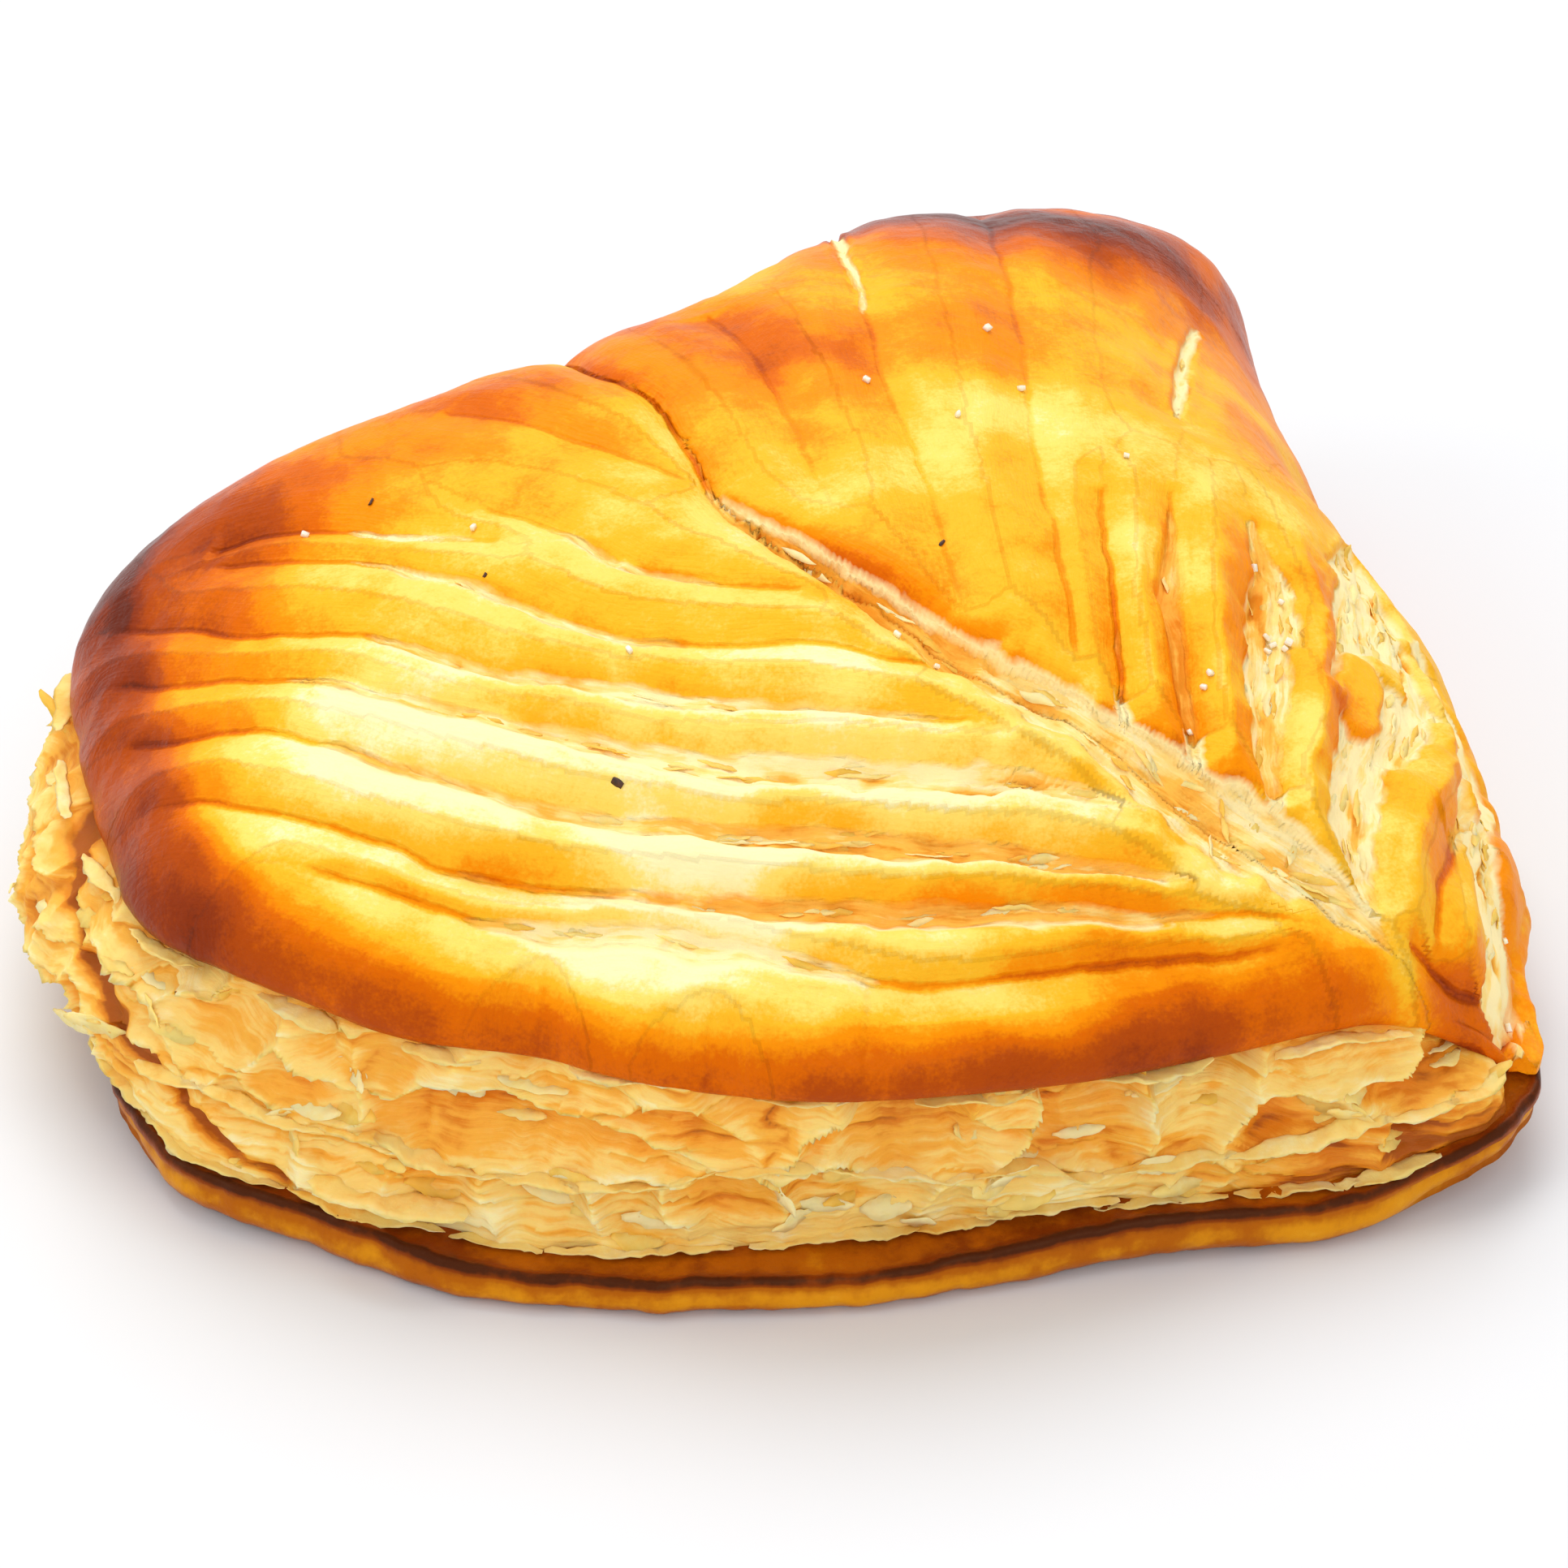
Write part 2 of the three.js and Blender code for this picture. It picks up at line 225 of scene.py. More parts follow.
# Score lines: a name, which side the torn lip is on (1 left of the knife's way, -1 right, 0 both), and the
# knife's way as x, y, half width, depth and toast (0 pale and flaky, 1 browned).
score_lines = [
    ("midrib", 1, [
        (-13, 36, 0.1, 2.0, 0.7), (-11.2, 20.4, 0.1, 1.4, 0.4), (-6.3, 9, 0.1, 1.1, 0.4),
        (-4, 0, 0.15, 1.0, 0.4), (-2.7, -8.3, 0.4, 1.3, 0.5), (1.4, -15, 0.9, 1.7, 0.8),
        (5.6, -20.4, 1.2, 2.0, 0.9), (10, -26, 1.4, 2.2, 0.8), (15, -31.5, 1.9, 2.0, 0.4),
        (20, -35, 2.2, 1.8, 0.15), (25.3, -39.5, 2.3, 1.7, 0.1), (29.7, -44, 2.8, 1.8, 0.2),
        (34.3, -47.5, 3.1, 1.8, 0.1), (39, -50.4, 2.3, 1.5, 0.1), (43, -52.8, 1.2, 1.1, 0.2),
        (46.5, -54.6, 0.3, 0.7, 0.4)]),
    ("right_1", 0, [(1, 27, 0.1, 0.5, 0.6), (4, 13, 0.15, 0.4, 0.4), (6, -9, 0.1, 0.3, 0.5)]),
    ("right_2", 0, [
        (18, 56, 0.6, 0.6, 0), (16, 34, 0.5, 0.5, 0), (15, 8, 0.1, 0.3, 0.2), (15, -26, 0.1, 0.3, 0.5)]),
    ("right_3", 0, [
        (33, 58, 0.1, 0.6, 0.8), (29, 15, 0.1, 0.3, 0.1), (26, -6, 0.1, 0.4, 0.3),
        (24, -33, 0.2, 0.7, 0.6)]),
    ("right_4", 0, [
        (31, -9, 0.1, 0.5, 0.8), (29, -22, 0.25, 1.0, 0.8), (27, -38, 0.3, 1.5, 0.9),
        (28, -42, 0.2, 0.9, 0.9)]),
    ("right_5", 0, [
        (38, -7, 0.1, 0.4, 0.7), (36, -15, 0.5, 0.9, 0.7), (34, -24, 0.9, 1.5, 0.7),
        (33, -35, 0.7, 2.0, 1), (32, -45, 0.2, 1.2, 1)]),
    ("back_streak", 0, [(51, 36, 0.5, 0.25, 0), (45, 18, 0.6, 0.25, 0), (42, 7, 0.3, 0.15, 0.1)]),
    ("right_6", 0, [
        (45, -8, 0.2, 0.5, 0.6), (45, -13, 1.0, 1.0, 0.4), (45.2, -18, 2.0, 1.5, 0.2),
        (43.5, -25, 2.2, 1.8, 0.2), (41, -33, 2.0, 1.8, 0.1), (39, -40.5, 1.1, 1.6, 0.3),
        (38, -46, 0.3, 1.2, 0.9)]),
    ("right_7", 0, [
        (58, 2, 0.6, 0.4, 0.2), (57, -6, 2.8, 0.8, 0), (55.5, -15, 3.6, 1.2, 0), (53.5, -26, 4.1, 1.7, 0),
        (49.5, -36, 2.3, 2.0, 0), (46.5, -43, 2.1, 1.8, 0), (45, -49, 1.5, 1.4, 0),
        (45, -53, 0.4, 0.9, 0.2)]),
    ("right_8", 0, [
        (61, -10, 0.6, 0.6, 0.1), (62, -17, 1.5, 1.3, 0), (62, -25, 1.9, 1.8, 0.1),
        (60.5, -32, 1.6, 1.9, 0.1), (57.5, -38.5, 0.5, 1.5, 0.7), (53.5, -46, 0.2, 1.2, 0.7),
        (50.5, -54, 0.1, 0.9, 0.6)]),
    ("right_9", 0, [
        (61.5, -31, 0.5, 1.0, 0.1), (60.5, -37, 1.7, 1.8, 0), (59.5, -43, 2.0, 1.9, 0),
        (58.5, -49, 1.5, 1.6, 0), (57, -55, 0.5, 1.2, 0.3)]),
    ("tip_fold", 0, [
        (48, -53.6, 0.1, 0.6, 0.8), (51, -54.4, 0.15, 1.6, 1), (54, -54.2, 0.15, 1.9, 1),
        (57, -52.6, 0.1, 1.5, 1), (59.5, -50.5, 0.1, 0.8, 1)]),
    ("left_1", -1, [(-25, 13, 0.1, 0.4, 0.7), (-12, 2, 0.1, 0.45, 0.5), (-5, -5, 0.1, 0.4, 0.5)]),
    ("left_2", -1, [
        (-23, -4, 0.1, 0.4, 0.5), (-15, -13, 0.4, 0.6, 0.3), (-10, -18, 0.45, 0.7, 0.3),
        (3, -23, 0.1, 0.5, 0.6)]),
    ("left_2b", -1, [
        (-47, 4, 0.2, 0.8, 1), (-38, 0, 0.2, 0.7, 0.5), (-30, -6, 0.4, 0.6, 0), (-22, -11, 0.2, 0.4, 0.3)]),
    ("left_3", -1, [
        (-47, 1, 0.1, 0.7, 0.8), (-38, -5, 0.2, 0.7, 0.4), (-26, -15, 0.5, 0.9, 0.2),
        (-17.5, -23, 0.5, 0.9, 0.2), (-9, -27, 0.3, 0.8, 0.4), (2, -29.5, 0.2, 0.8, 0.5),
        (13, -33, 0.2, 0.9, 0.8)]),
    ("left_4", -1, [
        (-56, 2, 0.1, 0.7, 0.8), (-45.5, -10, 0.2, 0.8, 0.6), (-35, -18, 0.3, 0.9, 0.4),
        (-24.5, -26, 0.7, 1.2, 0.2), (-13.5, -31, 0.9, 1.4, 0.1), (-5.5, -34.3, 0.8, 1.3, 0.1),
        (4, -36.6, 0.5, 1.1, 0.3), (15, -39, 0.2, 1.0, 0.6)]),
    ("left_5", -1, [
        (-57.5, -5, 0.1, 0.7, 0.8), (-49, -14, 0.2, 0.8, 0.6), (-41, -20, 0.3, 1.0, 0.4),
        (-33, -26.5, 0.5, 1.2, 0.3), (-22, -33, 0.8, 1.5, 0.3), (-14, -36.7, 1.1, 1.8, 0.1),
        (-6, -40.3, 1.5, 2.0, 0), (3, -42.5, 1.6, 2.0, 0), (12.5, -43.7, 1.5, 1.8, 0),
        (20, -44.5, 1.0, 1.5, 0.1), (27, -46.5, 0.4, 1.0, 0.3)]),
    ("left_6", -1, [
        (-56, -14, 0.1, 0.8, 0.8), (-50, -20, 0.15, 0.9, 0.7), (-39, -29, 0.3, 1.1, 0.5),
        (-31, -35, 0.5, 1.6, 0.4), (-23, -39.5, 0.6, 1.9, 0.3), (-15, -43, 0.8, 2.1, 0.3),
        (-8, -46, 1.0, 2.4, 0.5), (1.5, -48.4, 1.3, 2.4, 0.6), (8, -49.7, 1.2, 2.2, 0.7),
        (16, -50.8, 1.0, 1.9, 0.6), (24, -51.2, 0.6, 1.4, 0.5), (31, -51.8, 0.25, 0.9, 0.4)]),
    ("left_7", -1, [
        (-54, -26, 0.1, 0.7, 0.8), (-45, -33, 0.15, 1.0, 0.8), (-38.5, -38, 0.2, 1.4, 0.8),
        (-29, -44.5, 0.3, 1.8, 0.8), (-21.5, -47.2, 0.3, 1.9, 0.8), (-15.5, -49.5, 0.5, 2.0, 0.6),
        (-10, -52, 0.7, 2.2, 0.6), (-2, -54.2, 1.0, 2.2, 0.7), (8, -55.4, 1.0, 2.0, 0.7),
        (18, -55.3, 0.7, 1.6, 0.6), (30, -54.2, 0.3, 1.1, 0.5), (42, -53.8, 0.15, 0.7, 0.4)]),
    ("left_8", -1, [
        (-43, -39, 0.1, 0.7, 0.8), (-35, -44, 0.2, 1.0, 0.9), (-29.5, -47.5, 0.3, 1.0, 0.7),
        (-23.5, -50, 0.7, 1.2, 0.1), (-18, -51.8, 0.9, 1.2, 0.05), (-11, -55, 0.9, 1.2, 0.05),
        (-4.5, -57.8, 0.7, 1.1, 0.05), (2, -60, 0.3, 0.9, 0.4), (7, -60.8, 0.1, 0.9, 0.5),
        (17.5, -59.3, 0.1, 1.2, 0.5), (30, -57, 0.1, 1.2, 0.5), (38, -55.6, 0.1, 0.6, 0.5)]),
    ("rim_tick_1", 0, [
        (-23.5, -52, 0.2, 0.1, 0.5), (-24.5, -54, 0.27, 0.15, 0.5), (-25.5, -56, 0.2, 0.1, 0.5)]),
    ("rim_tick_2", 0, [
        (-11.8, -59.6, 0.2, 0.1, 0.5), (-12.3, -61, 0.28, 0.15, 0.5), (-12.8, -63.2, 0.2, 0.1, 0.5)]),
]
shoulder_round = 2.9        # how far a strip takes to reach its full height from a cut
lip_round = 0.75            # the same on the side of a torn lip
torn_skin = 0.6             # thickness of the glazed skin at the edge of an open cut
cut_reach = 9.0             # how far from a knife line the skin still feels it
knife_step = 0.15           # distance between the points that a knife line is worked out at

# How much the oven browned the rim, as direction from the crown in degrees and amount
rim_browning = [
    (-180, 0.30), (-165, 0.34), (-150, 0.32), (-138, 0.34), (-126, 0.28), (-116, 0.26), (-107, 0.28),
    (-97, 0.28), (-88, 0.34), (-76, 0.36), (-66, 0.36), (-58, 0.30), (-50, 0.16), (-43, 0.12), (0, 0.10),
    (36, 0.16), (45, 0.40), (60, 0.46), (72, 0.40), (84, 0.30), (95, 0.26), (112, 0.26), (130, 0.22),
    (150, 0.24), (168, 0.28), (180, 0.30),
]
# Where the browned rim begins, as direction in degrees and share of the way out to the rim
rim_begins = [
    (-180, 0.86), (-150, 0.875), (-138, 0.905), (-128, 0.925), (-95, 0.945), (-80, 0.95), (-65, 0.93),
    (40, 0.91), (50, 0.80), (90, 0.82), (130, 0.86), (180, 0.86),
]
# Where the oven browned it more or less, as x, y, reach and amount
browned = [
    (-58, 12, 8, 0.26), (-50, 19, 7, 0.26), (-47, 8, 10, 0.34), (-36, 9, 10, 0.1), (-49, -3, 9, 0.24),
    (-59, -3, 7, 0.08), (-55, -15, 8, 0.08), (-56, -26, 7, 0.16), (-54, -34, 5, 0.12), (-29, 7, 8, 0.06),
    (-49, -37.5, 4.5, 0.22), (-46, 23, 8, 0.18), (-31, 29, 8, 0.06), (-14, 36, 8, 0.08),
    (-33, -47.5, 5, -0.02), (-20, -53.5, 5, -0.06), (-10, -57, 4, -0.04), (0, -59.5, 4, -0.06),
    (8, -60, 4, -0.06), (9, 50, 6, 0.36), (18, 51, 6, 0.5), (27, 49, 6.5, 0.5), (36, 48, 6.5, 0.58),
    (46, 48, 7, 0.52), (55, 46, 7, 0.36), (56, 60, 8, 0.2), (41, 34, 8, 0.12), (25, 37, 8, 0.14),
    (14, 36, 6, 0.1), (54, 37, 5, 0.1), (30, 46, 5, 0.1), (42, 42, 6, 0.22), (22, 40, 7, 0.1),
    (34, 38, 7, 0.1), (46, 30, 7, 0.08), (-3, 41, 6, 0.1), (0, 26, 8, 0.2), (5, 14, 9, 0.24),
    (-8, 30, 7, 0.2), (30, 22, 8, 0.06), (25, 2, 7, -0.24), (24, 17, 8, 0.1), (34, 15, 6, 0.08),
    (-8, -50.5, 4, -0.14), (54, -40, 5, -0.08), (-33, -39, 5, -0.06), (-12, -46, 5, -0.1),
    (8, 6, 4, -0.06), (-34, -31, 6, -0.1), (-40, -36, 6, -0.06), (-6, -54, 6, -0.04), (35, -3, 6, -0.1),
    (33, 5, 7, 0.08), (30, -14, 5, -0.08), (35, -19, 5, -0.1), (43, -8, 6, -0.12), (50, -6, 5, -0.08),
    (8, 1, 7, 0.1), (20, 13, 6, 0.1), (50, 12, 8, 0.14), (-14, 14, 9, 0.22), (-24, 18, 8, 0.2),
    (8, -20, 7, 0.1), (27, -38, 3, 0.16), (32, -43, 4, 0.16), (58, -38, 10, 0.1), (51, -42, 6, 0.16),
    (46, -30, 4, 0.14), (46, -38, 4, 0.14), (39, -27, 5, 0.12), (34, -38, 5, 0.12), (-24, 3, 7, 0.08),
    (8, 12, 8, 0.08), (56, 30, 8, 0.14), (54, -56, 4, 0.14), (33, -53, 5, -0.16), (12, -54.5, 4, 0.12),
    (20, -57, 4, 0.12), (28, -56, 4, 0.08), (46.5, -56, 2.5, -0.2), (20, -62.5, 3, 0.08),
    (29, -60.5, 3, 0.08), (36, -58, 3, 0.06), (20, 4, 9, 0.08), (42, -12, 10, 0.12), (-20, 0, 10, 0.04),
    (-27, -14, 9, -0.06), (-31, -28, 8, -0.2), (-12, -47, 10, -0.26), (4, -46, 6, -0.16),
    (14, -48, 6, -0.08), (-17, -15, 6, -0.08), (-40, -29, 6, -0.1), (3, -40, 5, -0.12),
    (-18, -36, 9, -0.16), (-26, -37, 6, -0.1), (14, -6, 9, -0.06), (-3, -20, 9, -0.05),
    (50, -42, 12, -0.04), (14, -44, 8, -0.14), (2, -34, 8, -0.14), (-33, -41, 6, -0.05),
]
# Hollows in the open cuts, as x, y, half length, half width, heading in degrees, depth and toast
cut_hollows = [
    (14, -30.5, 2.6, 1.1, -48, 0.7, 0.8), (20.5, -35.3, 3.0, 1.0, -40, 0.5, 0.6),
    (31, -45.2, 4.6, 1.5, -38, 0.8, 0.75), (38, -50, 2.6, 0.8, -32, 0.4, 0.6),
    (25.5, -39.8, 3.2, 0.6, -42, 0.4, 0.6), (33, -48.7, 3.0, 0.4, -35, 0.3, 0.6),
    (-3, -41.3, 2.2, 0.6, -10, 0.5, 0.6), (5, -42.8, 1.3, 0.5, -8, 0.4, 0.6),
    (15, -44.8, 4.0, 0.5, -6, 0.5, 0.8), (19, -43.6, 4.0, 0.4, -8, 0.4, 0.7),
    (-27, -23.8, 1.6, 0.4, -35, 0.3, 0.7), (43.6, -20, 6.5, 0.8, -100, 0.5, 1.0),
    (40.6, -36, 4.0, 0.6, -104, 0.4, 0.8), (57.5, -9, 3.0, 0.22, -100, 0.5, 1.1),
    (55.0, -14, 3.3, 0.2, -98, 0.5, 1.1), (58.8, -16, 2.5, 0.2, -100, 0.5, 1.2),
    (56.8, -21, 3.3, 0.25, -104, 0.5, 1.1), (53, -35, 3.0, 0.4, -115, 0.4, 0.7),
    (62, -21, 2.6, 0.25, -94, 0.6, 1.2), (61.6, -28, 1.8, 0.3, -95, 0.6, 1.1),
    (60, -40, 2.5, 0.3, -98, 0.6, 1.1), (59.4, -46, 2.0, 0.3, -98, 0.5, 1.0),
    (46.5, -45, 3.5, 0.4, -106, 0.4, 0.6), (45.5, -15, 3.0, 0.3, -92, 0.3, 0.6),
]
# Scraps of glaze left lying in an open cut, as x, y, half length, half width and heading
glaze_scraps = [
    (51.2, -27.5, 6.0, 2.2, -106), (55.2, -22.0, 2.0, 1.4, -60), (61.3, -29, 2.2, 0.7, -98),
]
# Broad swellings of the skin, as x, y, reach and height
swellings = [
    (-46, -40, 7, 0.8), (62, 13, 9, -2.6), (65, 2, 6, -1.2), (66, -28, 12, 2.3), (60, -46, 8, 1.0),
    (33, 52, 14, -0.6), (-50, 6, 12, -0.7),
]

SKIN_GRID = 380             # squares across the top of the skin
SKIN_RINGS = 14             # rings of faces that turn under its rim
rim_bunching = 1.35         # draws the squares closer together towards the rim


def disc_grid(count):
    """A square grid laid on the unit disc without a pole, as direction and share of the radius."""
    across = np.linspace(-1, 1, count + 1)
    a, b = np.meshgrid(across, across, indexing="ij")
    a, b = a.ravel(), b.ravel()
    share = np.maximum(np.abs(a), np.abs(b))
    safe_a = np.where(a == 0, 1, a)
    safe_b = np.where(b == 0, 1, b)
    sideways = np.abs(a) >= np.abs(b)
    angle = np.where(sideways, np.pi / 4 * b / safe_a, np.pi / 2 - np.pi / 4 * a / safe_b)
    angle = angle + np.where(sideways & (a < 0) | ~sideways & (b < 0), np.pi, 0)
    return angle, share


def surface_normals(points, faces):
    """Unit normal at each point of a mesh of four-cornered faces."""
    corners = points[faces]
    flat = np.cross(corners[:, 2] - corners[:, 0], corners[:, 3] - corners[:, 1])
    total = np.zeros_like(points)
    for corner in range(4):
        np.add.at(total, faces[:, corner], flat)
    return total / np.maximum(np.linalg.norm(total, axis=1), 1e-9)[:, None]


def make_piece(name, points, faces, marks, material):
    """A mesh object from points in millimetres, with a number per point for each named mark."""
    mesh = bpy.data.meshes.new(name)
    mesh.from_pydata((points * mm).tolist(), [], faces)
    for mark, values in marks.items():
        layer = mesh.attributes.new(mark, "FLOAT", "POINT")
        layer.data.foreach_set("value", np.ascontiguousarray(values, dtype=np.float32))
    mesh.materials.append(material)
    mesh.shade_smooth()
    mesh.update()
    piece = bpy.data.objects.new(name, mesh)
    bpy.context.collection.objects.link(piece)
    return piece


def cut_marks(points):
    """What the knife left at each point: depth, openness, toast, and the way to the nearest cut."""
    x, y = points[:, 0], points[:, 1]
    flat = points * [1, 1, 0]
    depth = np.zeros(len(points))
    opened = np.zeros(len(points))
    toast = np.zeros(len(points))
    along_cut = np.zeros(len(points))
    across_cut = np.full(len(points), cut_reach)
    gap_of_nearest = np.full(len(points), 99.0)
    pull_of_nearest = np.full(len(points), 99.0)
    lip = np.zeros(len(points))
    crease = np.zeros(len(points))
    across_line = np.full(len(points), cut_reach)
    for number, (name, lip_side, knots) in enumerate(score_lines):
        length = sum(math.dist(p[:2], q[:2]) for p, q in zip(knots, knots[1:]))
        line = smooth_curve(knots, int(length / knife_step), False)
        heading = np.gradient(line[:, :2], axis=0)
        heading /= np.linalg.norm(heading, axis=1)[:, None]
        close = np.flatnonzero(
            (x > line[:, 0].min() - cut_reach) & (x < line[:, 0].max() + cut_reach)
            & (y > line[:, 1].min() - cut_reach) & (y < line[:, 1].max() + cut_reach))
        wander = 0.35 * np.stack([
            unevenness(flat[close], 5, number, 2), unevenness(flat[close], 5, 50 + number, 2)], axis=1)
        ragged = unevenness(flat[close], 2.2, 100 + number, 2)
        place = points[close, :2] + wander
        best = np.zeros(len(close), int)
        at_once = 6000              # few enough points to measure to the whole line together
        for start in range(0, len(close), at_once):
            part = slice(start, start + at_once)
            away = ((place[part, None, 0] - line[None, :, 0]) ** 2
                    + (place[part, None, 1] - line[None, :, 1]) ** 2)
            best[part] = away.argmin(axis=1)
        shift = place - line[best, :2]
        away = np.hypot(shift[:, 0], shift[:, 1])
        left_of = heading[best, 0] * shift[:, 1] - heading[best, 1] * shift[:, 0]
        signed = np.where(left_of < 0, -away, away)
        share = best / (len(line) - 1)
        fade = ramp(share, 0, 0.06) * (1 - ramp(share, 0.94, 1))
        wide = line[best, 2]
        half = np.maximum(wide * (0.2 + 0.8 * fade) * (1 + 0.22 * ragged), 0.02)
        deep = line[best, 3] * fade
        outside = np.maximum(away - half, 0)
        lip_here = np.where(lip_side == 0, 1, signed * lip_side > 0)
        round_off = np.where(lip_here & (wide > 0.35), lip_round if lip_side else 1.5, shoulder_round)
        hollow = deep * (0.45 * np.exp(-(outside / 0.7) ** 1.3)
                         + 0.55 * np.exp(-(outside / round_off) ** 1.4))
        step = torn_skin * ramp(wide, 0.3, 0.6) * (1 - ramp(away, half - 0.8, half + 0.5)) * fade
        raised = 0.3 * ramp(wide, 0.3, 0.6) * lip_here * fade * np.exp(-((outside - 0.5) / 0.5) ** 2)
        depth[close] = np.maximum(depth[close], hollow + step - raised)
        on_line = (share > 0) & (share < 1)
        inside = np.where(on_line, np.clip(0.5 + (half - away) / 2, 0, 1), 0) * ramp(wide, 0.15, 0.35)
        # a wide cut keeps its hold further out, so that its border is not broken by the cuts that end there
        pull = away - 2 * wide * fade
        stronger = pull < pull_of_nearest[close]
        pull_of_nearest[close] = np.where(stronger, pull, pull_of_nearest[close])
        toast[close] = np.where(stronger, line[best, 4], toast[close])
        along_cut[close] = np.where(stronger, share * length + number * 50, along_cut[close])
        across_cut[close] = np.where(stronger, signed, across_cut[close])
        lip_now = (lip_side != 0) * lip_here * ramp(wide, 0.2, 0.5) * fade
        lip[close] = np.where(stronger, lip_now, lip[close])
        nearer = away - half < gap_of_nearest[close]
        narrow = np.clip(deep / 1.1, 0, 1) * (1 - ramp(wide, 0.25, 0.5)) * (1 - ramp(away, 0.6, 1.0))
        crease[close] = np.where(nearer, narrow, crease[close])
        across_line[close] = np.where(nearer, signed, across_line[close])
        gap_of_nearest[close] = np.where(nearer, away - half, gap_of_nearest[close])
        opened[close] = np.maximum(opened[close], inside)
    return depth, opened, toast, along_cut, across_cut, gap_of_nearest, lip, crease, across_line


def browning(points, share):
    """How far the glaze has browned at each point, 0 pale to 1 nearly burnt."""
    direction = np.arctan2(points[:, 1] - crown_y, points[:, 0] - crown_x)
    turned = np.degrees(np.mod(direction + np.pi, 2 * np.pi) - np.pi)
    flat = points * [1, 1, 0]
    band = np.interp(turned + 4 * unevenness(flat, 8, 65), *zip(*rim_browning))
    inner_edge = np.interp(turned, *zip(*rim_begins)) + 0.015 * unevenness(flat, 6, 66, 2)
    amount = 0.26 + band * ramp(share, inner_edge, inner_edge + 0.07)
    amount = amount + 0.14 * ramp(share, 0.965, 1.0) * ramp(-turned, 60, 75) * ramp(turned, -160, -140)
    wander = np.stack([unevenness(points, 9, 61, 2), unevenness(points, 9, 62, 2)], axis=1) * 2.2
    for x, y, reach, extra in browned:
        away = np.hypot(points[:, 0] + wander[:, 0] - x, points[:, 1] + wander[:, 1] - y)
        amount = amount + extra * np.exp(-(away / reach) ** 2)
    amount += 0.05 * unevenness(points, 12, 63, 3) + 0.04 * unevenness(points, 4, 64, 2)
    return amount


def closed_under(faces, centre):
    """Faces that join every open edge of a sheet to one point below it."""
    edges = np.stack([faces, np.roll(faces, -1, axis=1)], axis=-1).reshape(-1, 2)
    key = edges[:, 0] * 10_000_000 + edges[:, 1]
    twin = edges[:, 1] * 10_000_000 + edges[:, 0]
    free = edges[~np.isin(key, twin)]
    return np.stack([free[:, 1], free[:, 0], np.full(len(free), centre)], axis=1)


angle, share = disc_grid(SKIN_GRID)
out = 1 - (1 - share) ** rim_bunching
radius, rim_height = rim_towards(angle)
dome_height = rim_height + (crown_height - rim_height) * (1 - out ** dome_power) ** dome_shoulder
dome = round_crown(radius * out, angle, dome_height)
side = SKIN_GRID + 1
grid = np.arange(side * side).reshape(side, side)
quads = [np.stack([grid[:-1, :-1], grid[1:, :-1], grid[1:, 1:], grid[:-1, 1:]], axis=-1).reshape(-1, 4)]
border = np.concatenate([grid[:-1, 0], grid[-1, :-1], grid[:0:-1, -1], grid[0, :0:-1]])
border_angle = angle[border]
border_radius, border_height = rim_towards(border_angle)
crust_radius, crust_height = crust_towards(border_angle)
fold = on_fold(border_angle)
# the rim's curl, ring by ring: how far in and how far down from its widest line
lip_inset = [0.05, 0.25, 0.6, 1.1, 1.7, 2.6, 4.0, 5.5]
lip_drop = [0.5, 1.0, 1.35, 1.6, 1.7, 1.7, 1.6, 1.4]
curl_rings = np.arange(1, len(lip_inset) + 1)
roll_rings = SKIN_RINGS - 3         # rings from the fold down to the crust; the last three tuck in
points, loop = [dome], border
ring_share = [out]
for ring in range(1, SKIN_RINGS + 1):
    # the cut side curls under in a few rings; the fold rolls on down to the crust
    lip_radius = border_radius - np.interp(ring, curl_rings, lip_inset) - max(0, ring - len(lip_inset)) * 0.3
    lip_height = border_height - np.interp(ring, curl_rings, lip_drop)
    down = min(ring / roll_rings, 1)
    tucked = max(0, ring - roll_rings)
    roll_radius = (border_radius + (crust_radius - border_radius) * down
                   + 1.2 * np.sin(np.pi * down) - 1.6 * tucked)
    roll_height = border_height + (crust_height - border_height) * down - 0.3 * tucked
    ring_radius = lip_radius + (roll_radius - lip_radius) * fold
    ring_height = lip_height + (roll_height - lip_height) * fold
    points.append(round_crown(ring_radius, border_angle, ring_height))
    ring_share.append(np.full(len(border), 1.0 + ring / SKIN_RINGS))
    lower = sum(len(p) for p in points[:-1]) + np.arange(len(border))
    quads.append(band_between(lower, loop))
    loop = lower
skin = np.concatenate(points)
skin_share = np.concatenate(ring_share)
skin_quads = np.concatenate(quads)
skin_normals = surface_normals(skin, skin_quads)

depth, opened, toast, along_cut, across_cut, cut_gap, lip, crease, across_line = cut_marks(skin)


def oval(points, x, y, half_length, half_width, heading):
    """How far each point is from a turned oval's middle, in shares of its size."""
    turn = math.radians(heading)
    ahead = (points[:, 0] - x) * math.cos(turn) + (points[:, 1] - y) * math.sin(turn)
    aside = (points[:, 1] - y) * math.cos(turn) - (points[:, 0] - x) * math.sin(turn)
    return np.hypot(ahead / half_length, aside / half_width)


